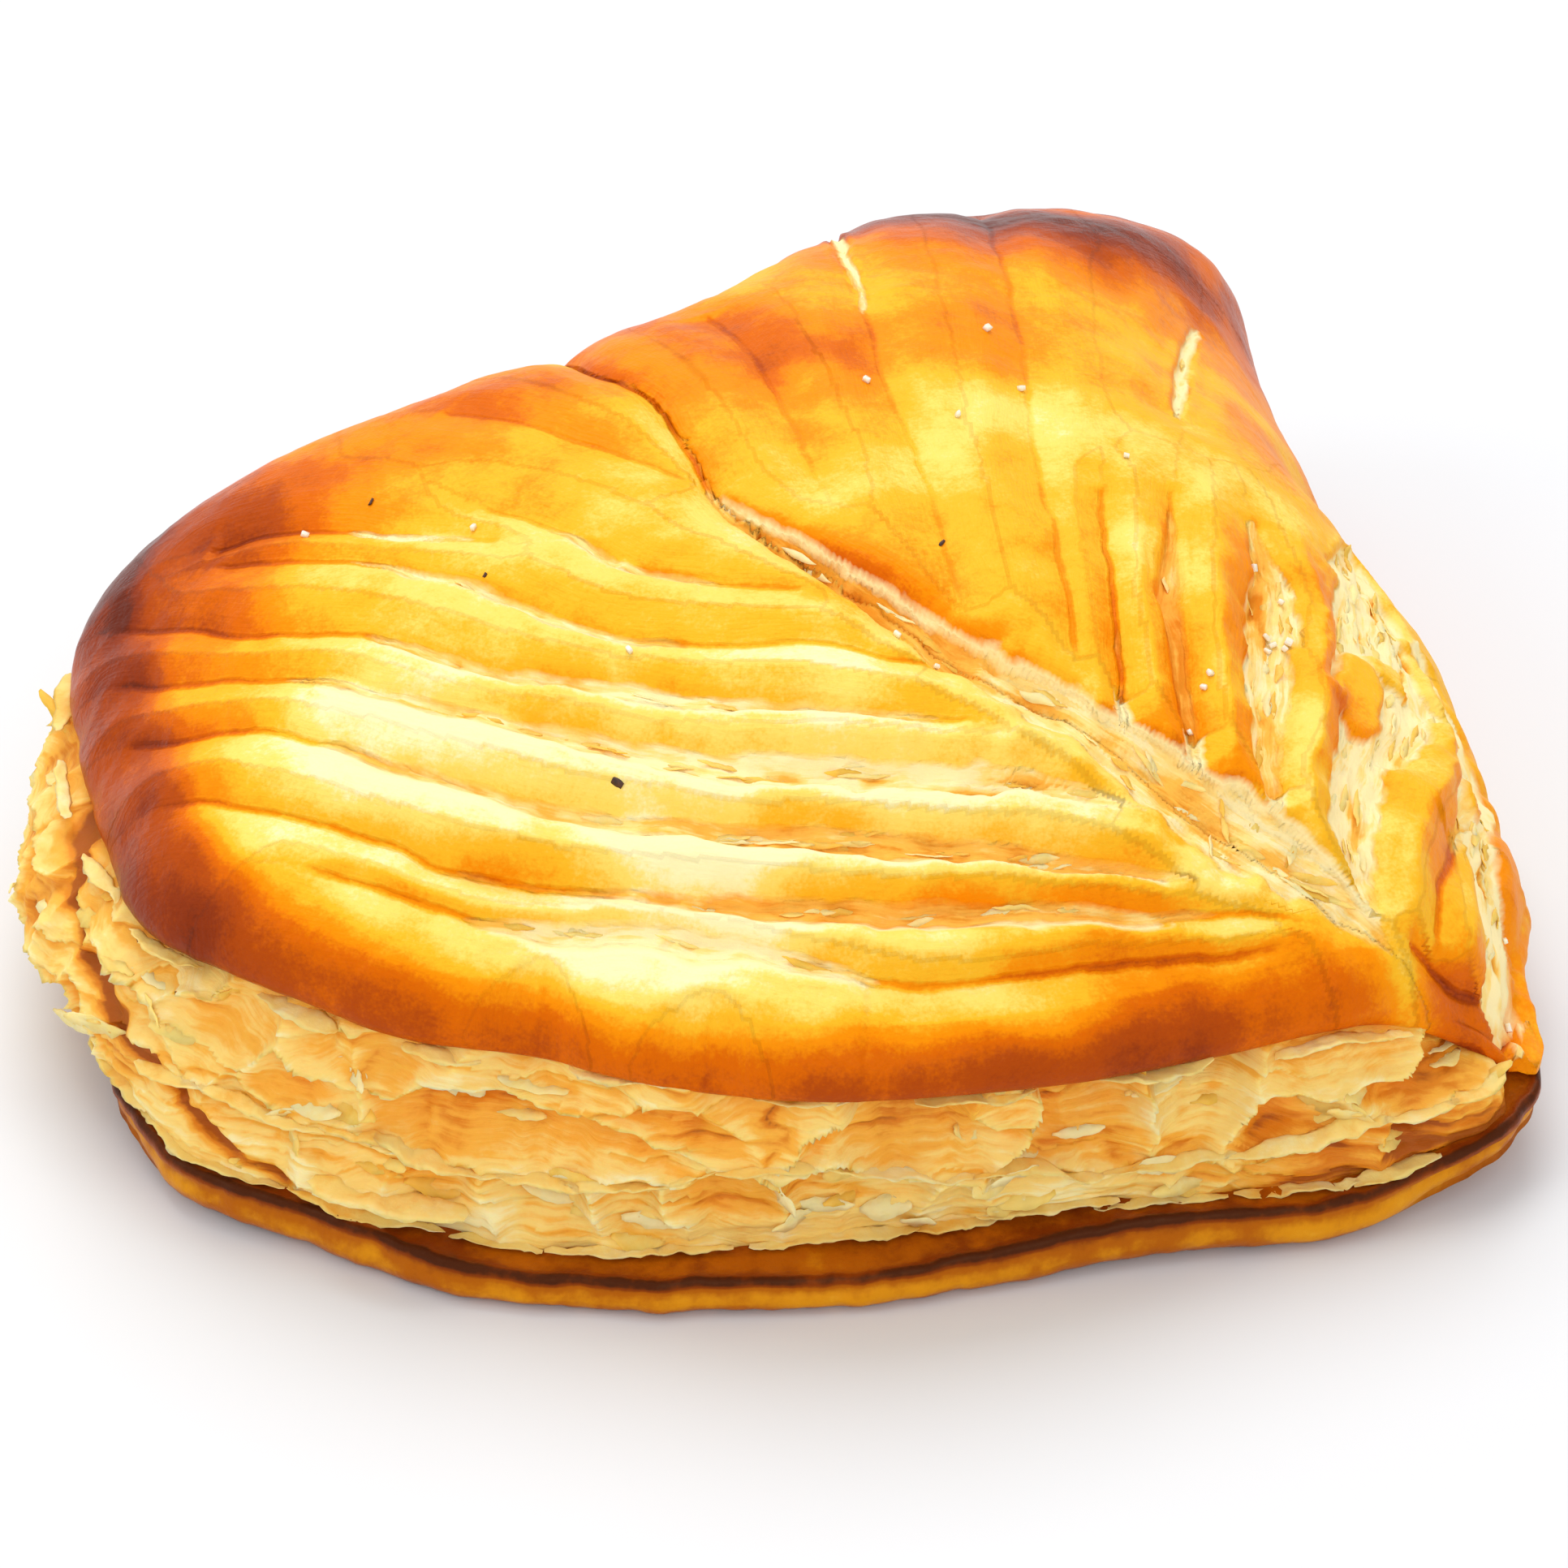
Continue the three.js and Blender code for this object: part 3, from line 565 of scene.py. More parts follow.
rough_place = skin + 0.35 * np.stack([
    unevenness(skin, 1.6, 76, 2), unevenness(skin, 1.6, 77, 2), skin[:, 0] * 0], axis=1)
for x, y, half_length, half_width, heading, hollow_depth, hollow_toast in cut_hollows:
    inside = np.exp(-oval(rough_place, x, y, half_length, half_width, heading) ** 3)
    inside *= ramp(opened, 0.45, 0.7)
    depth += hollow_depth * inside
    toast += (hollow_toast - toast) * inside
for x, y, half_length, half_width, heading in glaze_scraps:
    away = (oval(rough_place, x, y, half_length, half_width, heading) - 1) * half_width
    opened = np.minimum(opened, np.clip(0.5 + away / 2, 0, 1))
    depth -= 0.7 * (1 - ramp(away, -0.4, 0.3))
skin_fold = on_fold(np.arctan2(skin[:, 1] - crown_y, skin[:, 0] - crown_x))
past_rim = np.maximum(skin_share - 1, 0)
still_outside = np.where(skin_fold > 0.5, 1 - ramp(past_rim, 0.8, 0.95), 1 - ramp(past_rim, 0.05, 0.3))
grain = np.stack([along_cut / 6, across_cut / 0.9, along_cut * 0], axis=1)
fibres = unevenness(grain, 1.0, 71, 2)
crumbs = unevenness(skin, 2.0, 72, 2)
floor_share = ramp(opened, 0.4, 0.6)
relief = (
    -depth
    + floor_share * (0.42 * fibres + 0.3 * crumbs)
    + (1 - floor_share) * (0.35 * unevenness(skin, 11, 73, 2) + 0.08 * unevenness(skin, 2.4, 74, 2))
    - (0.45 + 0.55 * ramp(skin[:, 0] * 0.25 - skin[:, 1], 22, 44)) * (1 - ramp(cut_gap, 0.5, 4.5))
)
for x, y, reach, lift in swellings:
    relief += lift * np.exp(-(np.hypot(skin[:, 0] - x, skin[:, 1] - y) / reach) ** 2)
smooth_normals = skin_normals
skin = skin + skin_normals * (relief * still_outside)[:, None]
highest = crown_height + 0.8
skin[:, 2] = np.minimum(skin[:, 2], highest)
browning_and_shade = browning(skin, np.minimum(skin_share, 1.0))
# the strip slopes that face outwards and down are painted browner and those that face up paler: partly
# browning, partly painted shade and light by how each slope faces
skin_normals = surface_normals(skin, skin_quads)
outward = np.stack([skin[:, 0] - crown_x, skin[:, 1] - crown_y], axis=1)
outward /= np.maximum(np.linalg.norm(outward, axis=1), 1)[:, None]
tilt = ((skin_normals - smooth_normals)[:, :2] * outward).sum(axis=1)
browning_and_shade += 0.24 * np.clip(tilt, -0.35, 0.6) * (skin_share < 0.97)
# beside each cut the glaze is painted browner, most on the left of the knife's way where the strip rolls over
# into the cut: partly the given toast, partly painted shade under that rolled edge
near_cut = np.exp(-(np.maximum(cut_gap, 0) / np.where(across_cut > 0, 1.9, 1.0)) ** 2)
shaded_side = np.where(across_cut > 0, 1.0, 0.35)
browning_and_shade += 0.15 * near_cut * (toast - 0.2) * shaded_side * (cut_gap < cut_reach)


def new_material(name):
    """A material, its node tree and its shader."""
    material = bpy.data.materials.new(name)
    material.use_nodes = True
    return material, material.node_tree, material.node_tree.nodes["Principled BSDF"]


def add_node(tree, kind, settings=None, sockets=None):
    """A node with its settings and unlinked socket values."""
    node = tree.nodes.new(kind)
    for key, value in (settings or {}).items():
        setattr(node, key, value)
    for key, value in (sockets or {}).items():
        node.inputs[key].default_value = value
    return node


def baked_finish(shader, shine, glow, glow_tint, glow_depth, roughness=0.5):
    """The plain settings of a surface: its shine, and how deep light soaks in and in what tint."""
    shader.inputs["Specular IOR Level"].default_value = shine
    shader.inputs["Roughness"].default_value = roughness
    shader.inputs["Subsurface Weight"].default_value = glow
    shader.inputs["Subsurface Radius"].default_value = glow_tint
    shader.inputs["Subsurface Scale"].default_value = glow_depth * mm


def worked_out(tree, operation, *values):
    """A number made from others; each is a socket or a plain number."""
    node = add_node(tree, "ShaderNodeMath", {"operation": operation})
    for index, value in enumerate(values):
        if isinstance(value, (int, float)):
            node.inputs[index].default_value = value
        else:
            tree.links.new(value, node.inputs[index])
    return node.outputs[0]


def colour_steps(tree, value, stops):
    """The colour that a number picks from the given (place, colour) steps."""
    node = tree.nodes.new("ShaderNodeValToRGB")
    node.color_ramp.interpolation = "EASE"
    while len(node.color_ramp.elements) < len(stops):
        node.color_ramp.elements.new(0.5)
    for element, (place, colour) in zip(node.color_ramp.elements, stops):
        element.position = place
        element.color = (*colour, 1)
    tree.links.new(value, node.inputs[0])
    return node.outputs["Color"]


def own_space(tree):
    """The piece's own coordinates."""
    if "own_space" not in tree.nodes:
        tree.nodes.new("ShaderNodeTexCoord").name = "own_space"
    return tree.nodes["own_space"].outputs["Object"]


def speckle(tree, size, detail=2.0, rough=0.5):
    """Noise in the piece's own space, with lumps of about size millimetres."""
    noise = add_node(tree, "ShaderNodeTexNoise", {}, {
        "Scale": 1 / (size * mm), "Detail": detail, "Roughness": rough})
    tree.links.new(own_space(tree), noise.inputs["Vector"])
    return noise.outputs["Fac"]


def streaks(tree, along, across, along_size, across_size, detail=2.0):
    """Noise drawn out along a cut, from the piece's own marks."""
    place = tree.nodes.new("ShaderNodeCombineXYZ")
    for index, (name, size) in enumerate(((along, along_size), (across, across_size))):
        tree.links.new(worked_out(tree, "DIVIDE", mark_value(tree, name), size), place.inputs[index])
    noise = add_node(tree, "ShaderNodeTexNoise", {}, {"Scale": 1.0, "Detail": detail, "Roughness": 0.55})
    tree.links.new(place.outputs[0], noise.inputs["Vector"])
    return noise.outputs["Fac"]


def sum_up(tree, base, *terms):
    """base plus each (value, strength) term, where a value swings about one half."""
    for value, strength in terms:
        base = worked_out(tree, "ADD", base, worked_out(tree, "MULTIPLY_ADD", value, strength, -strength / 2))
    return base


def mark_value(tree, name):
    """One of the piece's own marks, as a number."""
    return add_node(tree, "ShaderNodeAttribute", {"attribute_name": name}).outputs["Fac"]


def mixed(tree, share, first, second):
    """A colour between two, by share; the second may be a plain colour."""
    node = add_node(tree, "ShaderNodeMix", {"data_type": "RGBA"})
    tree.links.new(share, node.inputs[0])
    tree.links.new(first, node.inputs[6])
    if isinstance(second, tuple):
        node.inputs[7].default_value = (*second, 1)
    else:
        tree.links.new(second, node.inputs[7])
    return node.outputs[2]


def carried(tree, value, from_low, from_high, to_low=0.0, to_high=1.0):
    """A number carried from one range to another and held at the ends."""
    node = add_node(tree, "ShaderNodeMapRange", {}, {
        "From Min": from_low, "From Max": from_high, "To Min": to_low, "To Max": to_high})
    tree.links.new(value, node.inputs["Value"])
    return node.outputs["Result"]


def blended(tree, share, first, second):
    """A number between two, by share; either may be a socket or a plain number."""
    node = add_node(tree, "ShaderNodeMix", {"data_type": "FLOAT"})
    tree.links.new(share, node.inputs[0])
    for index, value in ((2, first), (3, second)):
        if isinstance(value, float):
            node.inputs[index].default_value = value
        else:
            tree.links.new(value, node.inputs[index])
    return node.outputs[0]


def bumps(tree, shader, *layers):
    """Bump nodes in a chain, each a (height, distance in millimetres, strength)."""
    last = None
    for height, distance, strength in layers:
        node = add_node(tree, "ShaderNodeBump", {}, {"Distance": distance * mm, "Strength": strength})
        tree.links.new(height, node.inputs["Height"])
        if last is not None:
            tree.links.new(last, node.inputs["Normal"])
        last = node.outputs["Normal"]
    tree.links.new(last, shader.inputs["Normal"])


egg_glaze, tree, shader = new_material("egg_glaze")
baked = sum_up(tree, mark_value(tree, "browning_and_shade"), (speckle(tree, 0.8, 3, 0.6), 0.13),
               (speckle(tree, 4.5, 3), 0.13), (speckle(tree, 0.3, 1), 0.09))
beside_line = sum_up(tree, mark_value(tree, "across_line"), (speckle(tree, 1.2, 2), 0.25))
line_gap = worked_out(tree, "ABSOLUTE", beside_line)
# the narrow knife creases are painted darker along their groove: painted shade, beside the bump that cuts
# them in
knife_line = worked_out(tree, "MULTIPLY", carried(tree, line_gap, 0.42, 0.10), mark_value(tree, "crease"))
glaze_colour = colour_steps(tree, worked_out(tree, "MULTIPLY_ADD", knife_line, 0.2, baked), [
    (0.0, (1.0, 0.88, 0.47)), (0.14, (1.0, 0.71, 0.14)), (0.28, (0.97, 0.49, 0.02)),
    (0.42, (0.94, 0.28, 0.002)), (0.57, (0.72, 0.135, 0.001)), (0.72, (0.45, 0.066, 0.004)),
    (0.88, (0.27, 0.034, 0.006)), (1.0, (0.14, 0.020, 0.008))])
inner_toast = sum_up(
    tree, mark_value(tree, "toast"), (streaks(tree, "along_cut", "across_cut", 6.0, 0.9, 3), 1.3),
    (streaks(tree, "along_cut", "across_cut", 3.0, 0.25, 2), 0.5), (speckle(tree, 2.2, 3, 0.6), 0.6))
inner_colour = colour_steps(tree, inner_toast, [
    (0.0, (1.0, 0.84, 0.44)), (0.25, (1.0, 0.72, 0.24)), (0.55, (0.98, 0.51, 0.08)),
    (1.0, (0.78, 0.28, 0.02))])
torn_edge = sum_up(tree, mark_value(tree, "opened"), (speckle(tree, 0.5, 2), 0.06),
                 (streaks(tree, "along_cut", "across_cut", 3.5, 0.9, 2), 0.32), (speckle(tree, 4.0, 2), 0.2))
inside_share = carried(tree, torn_edge, 0.42, 0.62)
near_edge = carried(tree, torn_edge, 0.22, 0.40)
lip_here = carried(tree, sum_up(tree, mark_value(tree, "lip"), (speckle(tree, 1.1, 2), 0.9)), 0.5, 0.8)
pale_lip = (1.0, 0.83, 0.42)
with_lip = mixed(tree, worked_out(tree, "MULTIPLY", near_edge, lip_here), glaze_colour, pale_lip)
tree.links.new(mixed(tree, inside_share, with_lip, inner_colour), shader.inputs["Base Color"])
baked_finish(shader, 0.07, 0.06, (1.0, 0.45, 0.15), 1.2)
shader.inputs["Specular Tint"].default_value = (1.0, 0.66, 0.35, 1)
rough_skin = carried(tree, mark_value(tree, "browning_and_shade"), 0.2, 0.7, 0.48, 0.26)
tree.links.new(blended(tree, inside_share, rough_skin, 0.75), shader.inputs["Roughness"])
knife_groove = worked_out(tree, "MULTIPLY", knife_line, -1.0)
pale_step = worked_out(tree, "MULTIPLY", inside_share, -1.0)
bumps(tree, shader, (speckle(tree, 0.45, 3, 0.6), 0.12, 0.6), (speckle(tree, 1.6, 2), 0.30, 0.5),
      (streaks(tree, "along_cut", "across_cut", 4.0, 0.35, 3), 0.22, 0.5),
      (knife_groove, 0.35, 0.6), (pale_step, 0.3, 0.6))

# The knife parted the skin along the midrib, so the glaze is two halves that meet in that cut.
rib = smooth_curve([knot[:2] for knot in score_lines[0][2]], 400, False)
rib = np.concatenate([[[-20, 60]], rib, [[58, -60], [66, -66]]])        # carried on past both ends
rib_y = np.interp(skin[:, 0], rib[:, 0], rib[:, 1])
rib_x = np.interp(skin[:, 1], rib[::-1, 1], rib[::-1, 0])
# the rib runs steeply at the back, where its x parts the halves, and flatter in front, where its y does
right_half = np.where(skin[:, 0] < -3, skin[:, 0] > rib_x, skin[:, 1] > rib_y)
marks = {"browning_and_shade": browning_and_shade, "opened": opened * still_outside, "toast": toast, "along_cut": along_cut,
         "across_cut": across_cut, "lip": lip * still_outside, "crease": crease, "across_line": across_line}
# each half is closed below by faces to one point inside the turnover
for half_name, belongs, below in (
        ("glaze_left_of_midrib", ~right_half, (-18, -14, 12)),
        ("glaze_right_of_midrib", right_half, (32, 14, 12))):
    part = skin_quads[belongs[skin_quads[:, 0]]]
    used, compact = np.unique(part, return_inverse=True)
    part = compact.reshape(part.shape)
    half_faces = part.tolist() + closed_under(part, len(used)).tolist()
    half_marks = {key: np.append(values[used], 0) for key, values in marks.items()}
    half = make_piece(half_name, np.concatenate([skin[used], [below]]), half_faces, half_marks, egg_glaze)
    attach(half, "root")
    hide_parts("baked_turnover")


# ---------------------------------------------------------------------------
# The layered edge. Where the dough was cut, its many thin sheets have puffed apart into hollow pockets with
# thin pale edges between them. It is one wall of dry pastry from the crust up to the glazed rim.
# ---------------------------------------------------------------------------
# Hollow pockets, as place along the cut edge from the folded tip, height, half length, half height, slope,
# depth and tone (0 pale, 1 toasted). Each pocket is painted darker towards its depth: painted shade in the
# hollow, added to its toasting.
upper_pockets = [
    (16.5, 12.6, 5.5, 1.5, -0.10, 3.2, 0.65), (23, 15.0, 5.0, 1.8, -0.08, 1.6, 0.35),
    (27.5, 11.2, 4.5, 1.8, -0.1, 3.6, 0.85), (36, 13.4, 4.8, 3.6, 0, 3.4, 0.30),
    (46, 13.0, 5.0, 4.0, 0, 3.6, 0.30), (52.5, 17.4, 2.6, 1.5, 0, 1.6, 0.35),
    (59.8, 15.6, 7.0, 3.4, 0.03, 3.4, 0.45), (70.5, 17.6, 4.6, 2.0, 0, 1.6, 0.35),
    (79, 16.6, 6.0, 1.9, 0.06, 2.0, 0.6), (92, 14.2, 10.5, 2.5, 0.05, 3.0, 0.6),
    (90, 18.8, 7.5, 1.3, 0, 1.5, 0.4), (103.5, 18.7, 4.2, 1.6, -0.1, 1.6, 0.3),
    (110, 17.6, 3.0, 1.8, 0, 1.5, 0.25), (111.5, 14.0, 4.0, 1.9, -0.15, 2.2, 0.35),
    (119, 16.5, 4.0, 2.6, 0, 1.6, 0.3),
]
lower_pockets = [
    (9.5, 7.0, 4.0, 1.2, -0.1, 0.8, 0.5), (17.5, 7.0, 4.2, 1.3, 0, 2.6, 0.9),
    (26, 7.4, 4.8, 1.7, 0, 1.9, 0.25), (34.5, 7.4, 3.6, 1.3, 0, 1.1, 0.15),
    (43, 7.4, 4.2, 1.3, 0, 1.2, 0.2), (50, 9.2, 3.4, 1.8, 0, 1.7, 0.25),
    (56.5, 8.0, 3.2, 2.0, 0, 1.5, 0.3), (65, 9.4, 5.6, 3.2, 0, 3.0, 0.4), (75, 8.9, 4.0, 2.8, 0, 2.3, 0.3),
    (82.5, 8.0, 4.0, 2.4, 0, 2.3, 0.3), (90, 7.2, 4.0, 2.2, 0, 2.3, 0.25),
    (98, 7.4, 4.2, 2.0, 0.1, 1.2, 0.2), (105.5, 8.6, 4.0, 2.0, 0.1, 1.0, 0.15),
    (114.5, 9.2, 4.5, 2.2, 0.1, 1.8, 0.3), (122, 7.4, 4.6, 1.8, 0, 0.8, 0.2),
]
# A dark seam runs down across the left end, partly toasted dough and partly painted shade in its groove, as
# place and height
seam_toast_and_shade = [
    (150, 20), (144, 18.5), (138, 16.5), (131, 13.5), (124, 11), (118, 7.5), (112, 4.6),
]

WALL_COLUMNS = 1230         # columns of faces round the cut edge
WALL_FOLD_COLUMNS = 60      # and inside the fold, where the wall is hidden
WALL_ROWS = 70              # rows from the crust up to the rim
cut_start, cut_end = 42, 312        # the cut edge's two ends, as directions from the crown in degrees
left_end_at, left_end_reach = 150, 17       # middle and reach of the left end, along the cut edge
left_swell = 6.4            # how far the wall swells out there
listed_to = 127             # the pockets above end here, along the cut edge
rim_inset = 1.0             # the wall's top lies this far in from the rim, and as far below it

cut_steps, fold_steps = 6000, 600
steps = np.concatenate([
    np.linspace(math.radians(cut_start), math.radians(cut_end), cut_steps, endpoint=False),
    np.linspace(math.radians(cut_end), math.radians(cut_start + 360), fold_steps, endpoint=False)])
reach_out, _ = rim_towards(steps)
walk = np.stack([crown_x + reach_out * np.cos(steps), crown_y + reach_out * np.sin(steps)], axis=1)
travelled = np.concatenate([[0], np.cumsum(np.hypot(*np.diff(walk, axis=0).T))])
cut_length = travelled[cut_steps - 1]
wanted = np.concatenate([
    np.linspace(0, cut_length, WALL_COLUMNS, endpoint=False),
    np.linspace(cut_length, travelled[-1], WALL_FOLD_COLUMNS, endpoint=False)])
wall_angle = np.interp(wanted, travelled, steps)
from_tip = cut_length - wanted
rim_radius, rim_height = rim_towards(wall_angle)
foot_radius, foot_height = crust_towards(wall_angle)
wall_fold = on_fold(wall_angle)


def crust_ledge(place):
    """How far the crust stands out beyond the foot of the wall, widest in front."""
    return (1.6 + 3.4 * np.exp(-((place - 62) / 32) ** 2) + 1.2 * np.exp(-((place - 97) / 8) ** 2)
            - 0.8 * np.exp(-(place / 12) ** 2))


def pocket_field(place, height, pockets):
    """Nearest pocket, how near it is, and how near the next one is, in shares of their size."""
    first = np.full(place.shape, 1e9)
    second = np.full(place.shape, 1e9)
    owner = np.zeros(place.shape, int)
    for number, (centre, level, half_length, half_height, slope, *_) in enumerate(pockets):
        across = (place - centre) / half_length
        upward = (height - level - slope * (place - centre)) / half_height
        away = np.sqrt(across ** 2 + upward ** 2)
        nearer = away < first
        second = np.where(nearer, first, np.minimum(second, away))
        owner = np.where(nearer, number, owner)
        first = np.where(nearer, away, first)
    return first, second, owner


# the rest of the edge, round the left end and along the back, has pockets of its own
pocket_rng = np.random.default_rng(7)
all_pockets = list(upper_pockets) + list(lower_pockets)
for row_share, half_length in ((0.8, 5.5), (0.5, 6.5), (0.22, 4.5)):
    place = listed_to + pocket_rng.uniform(0, 4)
    while place < cut_length - 2:
        left_end = math.exp(-((place - left_end_at) / 16) ** 2)
        size = half_length * pocket_rng.uniform(0.6, 1.3) * (1 - 0.45 * left_end)
        foot = np.interp(cut_length - place, wanted, foot_height)
        top = np.interp(cut_length - place, wanted, rim_height)
        all_pockets.append((
            place, foot + (top - foot) * row_share + pocket_rng.uniform(-1, 1), size,
            pocket_rng.uniform(1.5, 2.8), pocket_rng.uniform(-0.1, 0.1),
            pocket_rng.uniform(1.2, 3.2) * (1 - 0.5 * left_end), pocket_rng.uniform(0.15, 0.75)))
        place += 1.8 * size
pocket_table = np.array(all_pockets)

rise = np.linspace(0, 1, WALL_ROWS)[None, :]
low_radius = (foot_radius - crust_ledge(from_tip))[:, None]
high_radius = (rim_radius - rim_inset)[:, None]
low_height = (foot_height - 0.3)[:, None]
high_height = (rim_height - rim_inset)[:, None]
wall_height = (low_height + (high_height - low_height) * rise).ravel()
wall_radius = (low_radius + (high_radius - low_radius) * rise).ravel()
wall_place = np.repeat(from_tip, WALL_ROWS)
wall_rise = np.tile(rise.ravel(), len(from_tip))
flat_place = np.stack([wall_place, wall_height, wall_place * 0], axis=1)
bent_place = wall_place + 2.0 * unevenness(flat_place, 6, 81, 3)
bent_height = wall_height + 1.3 * unevenness(flat_place, 6, 82, 3)
first, second, owner = pocket_field(bent_place, bent_height, all_pockets)
pocket_size = np.minimum(pocket_table[owner, 2], pocket_table[owner, 3])
upward = (bent_height - pocket_table[owner, 1]) / pocket_table[owner, 3]
border_gap = (second - first) * pocket_size
flat_sides = ramp(np.abs(upward), 0.1, 0.7)
broken = ramp(unevenness(flat_place, 5, 79, 2), -0.5, 0.4)
edge_line = np.exp(-border_gap / 0.45) * (0.1 + 0.9 * flat_sides) * broken
scoop = 1 - np.exp(-(border_gap / 1.5) ** 1.3)
overhang = np.clip(0.75 + 0.45 * upward, 0.3, 1.25)
left_mask = np.exp(-((wall_place - left_end_at) / left_end_reach) ** 2)
curtains = unevenness(np.stack([bent_place / 1.9, wall_height / 9, owner * 3.3], axis=1), 1.0, 83, 2)
# the sheets turn round at the folded tip, and lie level along the rest of the edge
turn_place, turn_height = 11, 9
above_turn = (wall_height - turn_height) * 1.3
round_turn = np.hypot(wall_place - turn_place, above_turn)
turn_gap = np.where(wall_place < turn_place, round_turn, np.abs(above_turn))
sheet_line = turn_gap + 1.2 * unevenness(flat_place * [0.3, 0.7, 1], 4, 84, 2)
sheets = np.abs(np.mod(sheet_line / 1.25, 1) - 0.5) * 2
from_left_end = np.stack([left_mask * (wall_place - left_end_at), wall_place * 0, wall_place * 0], axis=1)
lying = flat_place * [0.34, 1, 1] + 0.4 * from_left_end
folds = 1 - 2.2 * np.abs(unevenness(lying, 4.2, 85, 2))
drawn_out = flat_place * [0.16, 1, 1] + 0.3 * from_left_end
veins = np.exp(-np.abs(unevenness(drawn_out, 4.6, 89, 3)) / 0.06)
# single sheets hang over one another like shingles, each standing out at its lower edge
sheet_spacing = 2.2
sheet_rise = (wall_height + (1.5 + 0.8 * left_mask) * unevenness(flat_place * [0.7, 0.5, 1], 7, 97, 2)
              + 0.5 * unevenness(flat_place * [1, 0.3, 1], 2.4, 98, 2)) / sheet_spacing
sheet_number = np.floor(sheet_rise)
up_sheet = sheet_rise - sheet_number
sheet_key = np.stack([wall_place / 9, sheet_number * 2.7, wall_place * 0], axis=1)
standing_out = np.clip(0.35 + 0.9 * unevenness(sheet_key, 1.0, 99, 2), 0, 1)
standing_out *= 1 - 0.55 * scoop * (1 - left_mask)
# ledge also pushes each sheet out; in the wall's colour ledge_shadow is painted shadow under each standing
# edge, and ledge a little painted highlight on that edge
ledge = standing_out * (1 - up_sheet) ** 1.3
ledge_shadow = standing_out * ramp(up_sheet, 0.62, 1.0)
layered = np.clip(0.2 + 0.5 * unevenness(flat_place * [1, 0.3, 1], 24, 86, 1) + 0.3 * left_mask
                  + 0.9 * np.exp(-(wall_place / 24) ** 2), 0, 1)
seam_height = np.interp(wall_place, *zip(*seam_toast_and_shade[::-1]))
seam_height = seam_height + 0.7 * unevenness(flat_place, 4, 90, 2)
on_seam = (np.exp(-((wall_height - seam_height) / 0.8) ** 2)
           * ramp(wall_place, 111, 113) * (1 - ramp(wall_place, 148, 151)))
push = (
    -1.15 * pocket_table[owner, 5] * scoop * overhang
    + 0.35 * edge_line
    + 0.3 * curtains * scoop
    + 0.5 * (sheets - 0.6) * layered * (1 - 0.7 * scoop)
    + (0.95 - 0.35 * left_mask) * (ledge - 0.2)
    + (0.25 + 0.4 * left_mask) * (folds - 0.3)
    + 0.22 * unevenness(flat_place * [0.6, 1, 1], 1.6, 102, 2)
    - (0.34 + 0.25 * left_mask) * veins
    + left_swell * left_mask * np.sin(np.pi * wall_rise ** 0.8) ** 0.6
    + 1.5 * np.sin(np.pi * wall_rise) ** 0.8
    - 1.0 * on_seam
    + 1.6 * np.exp(-((wall_place - 106) / 5) ** 2) * np.exp(-((wall_height - 6) / 2) ** 2)
)
tip_calm = ramp(wall_place, 0, 6) * ramp(cut_length - wall_place, 0, 6)
wall_cut = 1 - np.repeat(wall_fold, WALL_ROWS)
push *= (wall_cut * tip_calm * (0.2 + 0.8 * ramp(wall_rise, 1.0, 0.93))
         * (0.3 + 0.7 * ramp(wall_rise, 0.0, 0.12)))
foot_wave = 0.7 * unevenness(flat_place * [1, 0, 0], 4, 88, 2) * (1 - ramp(wall_rise, 0, 0.2))
outer_radius = wall_radius + push + foot_wave * wall_cut - 3 * (1 - wall_cut)
outer_height = wall_height - 0.7 * edge_line * unevenness(flat_place, 5, 87, 1) * wall_cut
columns = len(wall_angle)
column_angle = np.repeat(wall_angle, WALL_ROWS)
wall_thickness = 14
outer = round_crown(outer_radius, column_angle, outer_height)
inner = round_crown(np.tile(foot_radius, 2) - wall_thickness, np.tile(wall_angle, 2),
                    np.concatenate([foot_height + 0.5, rim_height - 1.5]))
wall_points = np.concatenate([outer, inner])
face_grid = np.arange(columns * WALL_ROWS).reshape(columns, WALL_ROWS)
ahead = np.roll(face_grid, -1, axis=0)
wall_quads = [np.stack(
    [face_grid[:, :-1], ahead[:, :-1], ahead[:, 1:], face_grid[:, 1:]], axis=-1).reshape(-1, 4)]
inner_low = columns * WALL_ROWS + np.arange(columns)
inner_high = inner_low + columns
chain = [face_grid[:, -1], inner_high, inner_low, face_grid[:, 0]]
for lower, upper in zip(chain, chain[1:]):
    wall_quads.append(band_between(lower, upper))
wall_quads = np.concatenate(wall_quads)

dry_leaves, tree, shader = new_material("dry_leaves")
laminations = streaks(tree, "edge_place", "edge_height", 3.5, 0.45, 3)
leaf_tone = sum_up(tree, mark_value(tree, "tone"), (speckle(tree, 1.0, 3, 0.6), 0.2),
                   (speckle(tree, 7, 2), 0.55), (laminations, 0.5))
leaf_colour = colour_steps(tree, leaf_tone, [
    (0.0, (1.0, 0.84, 0.42)), (0.25, (0.99, 0.68, 0.19)), (0.5, (0.95, 0.46, 0.05)),
    (0.75, (0.76, 0.25, 0.01)), (1.0, (0.42, 0.10, 0.004))])
tree.links.new(leaf_colour, shader.inputs["Base Color"])
baked_finish(shader, 0.2, 0.3, (1.0, 0.55, 0.22), 1.2, roughness=0.55)
bumps(tree, shader, (speckle(tree, 0.5, 3, 0.6), 0.10, 0.5), (speckle(tree, 1.4, 2), 0.25, 0.5),
      (laminations, 0.3, 0.6))
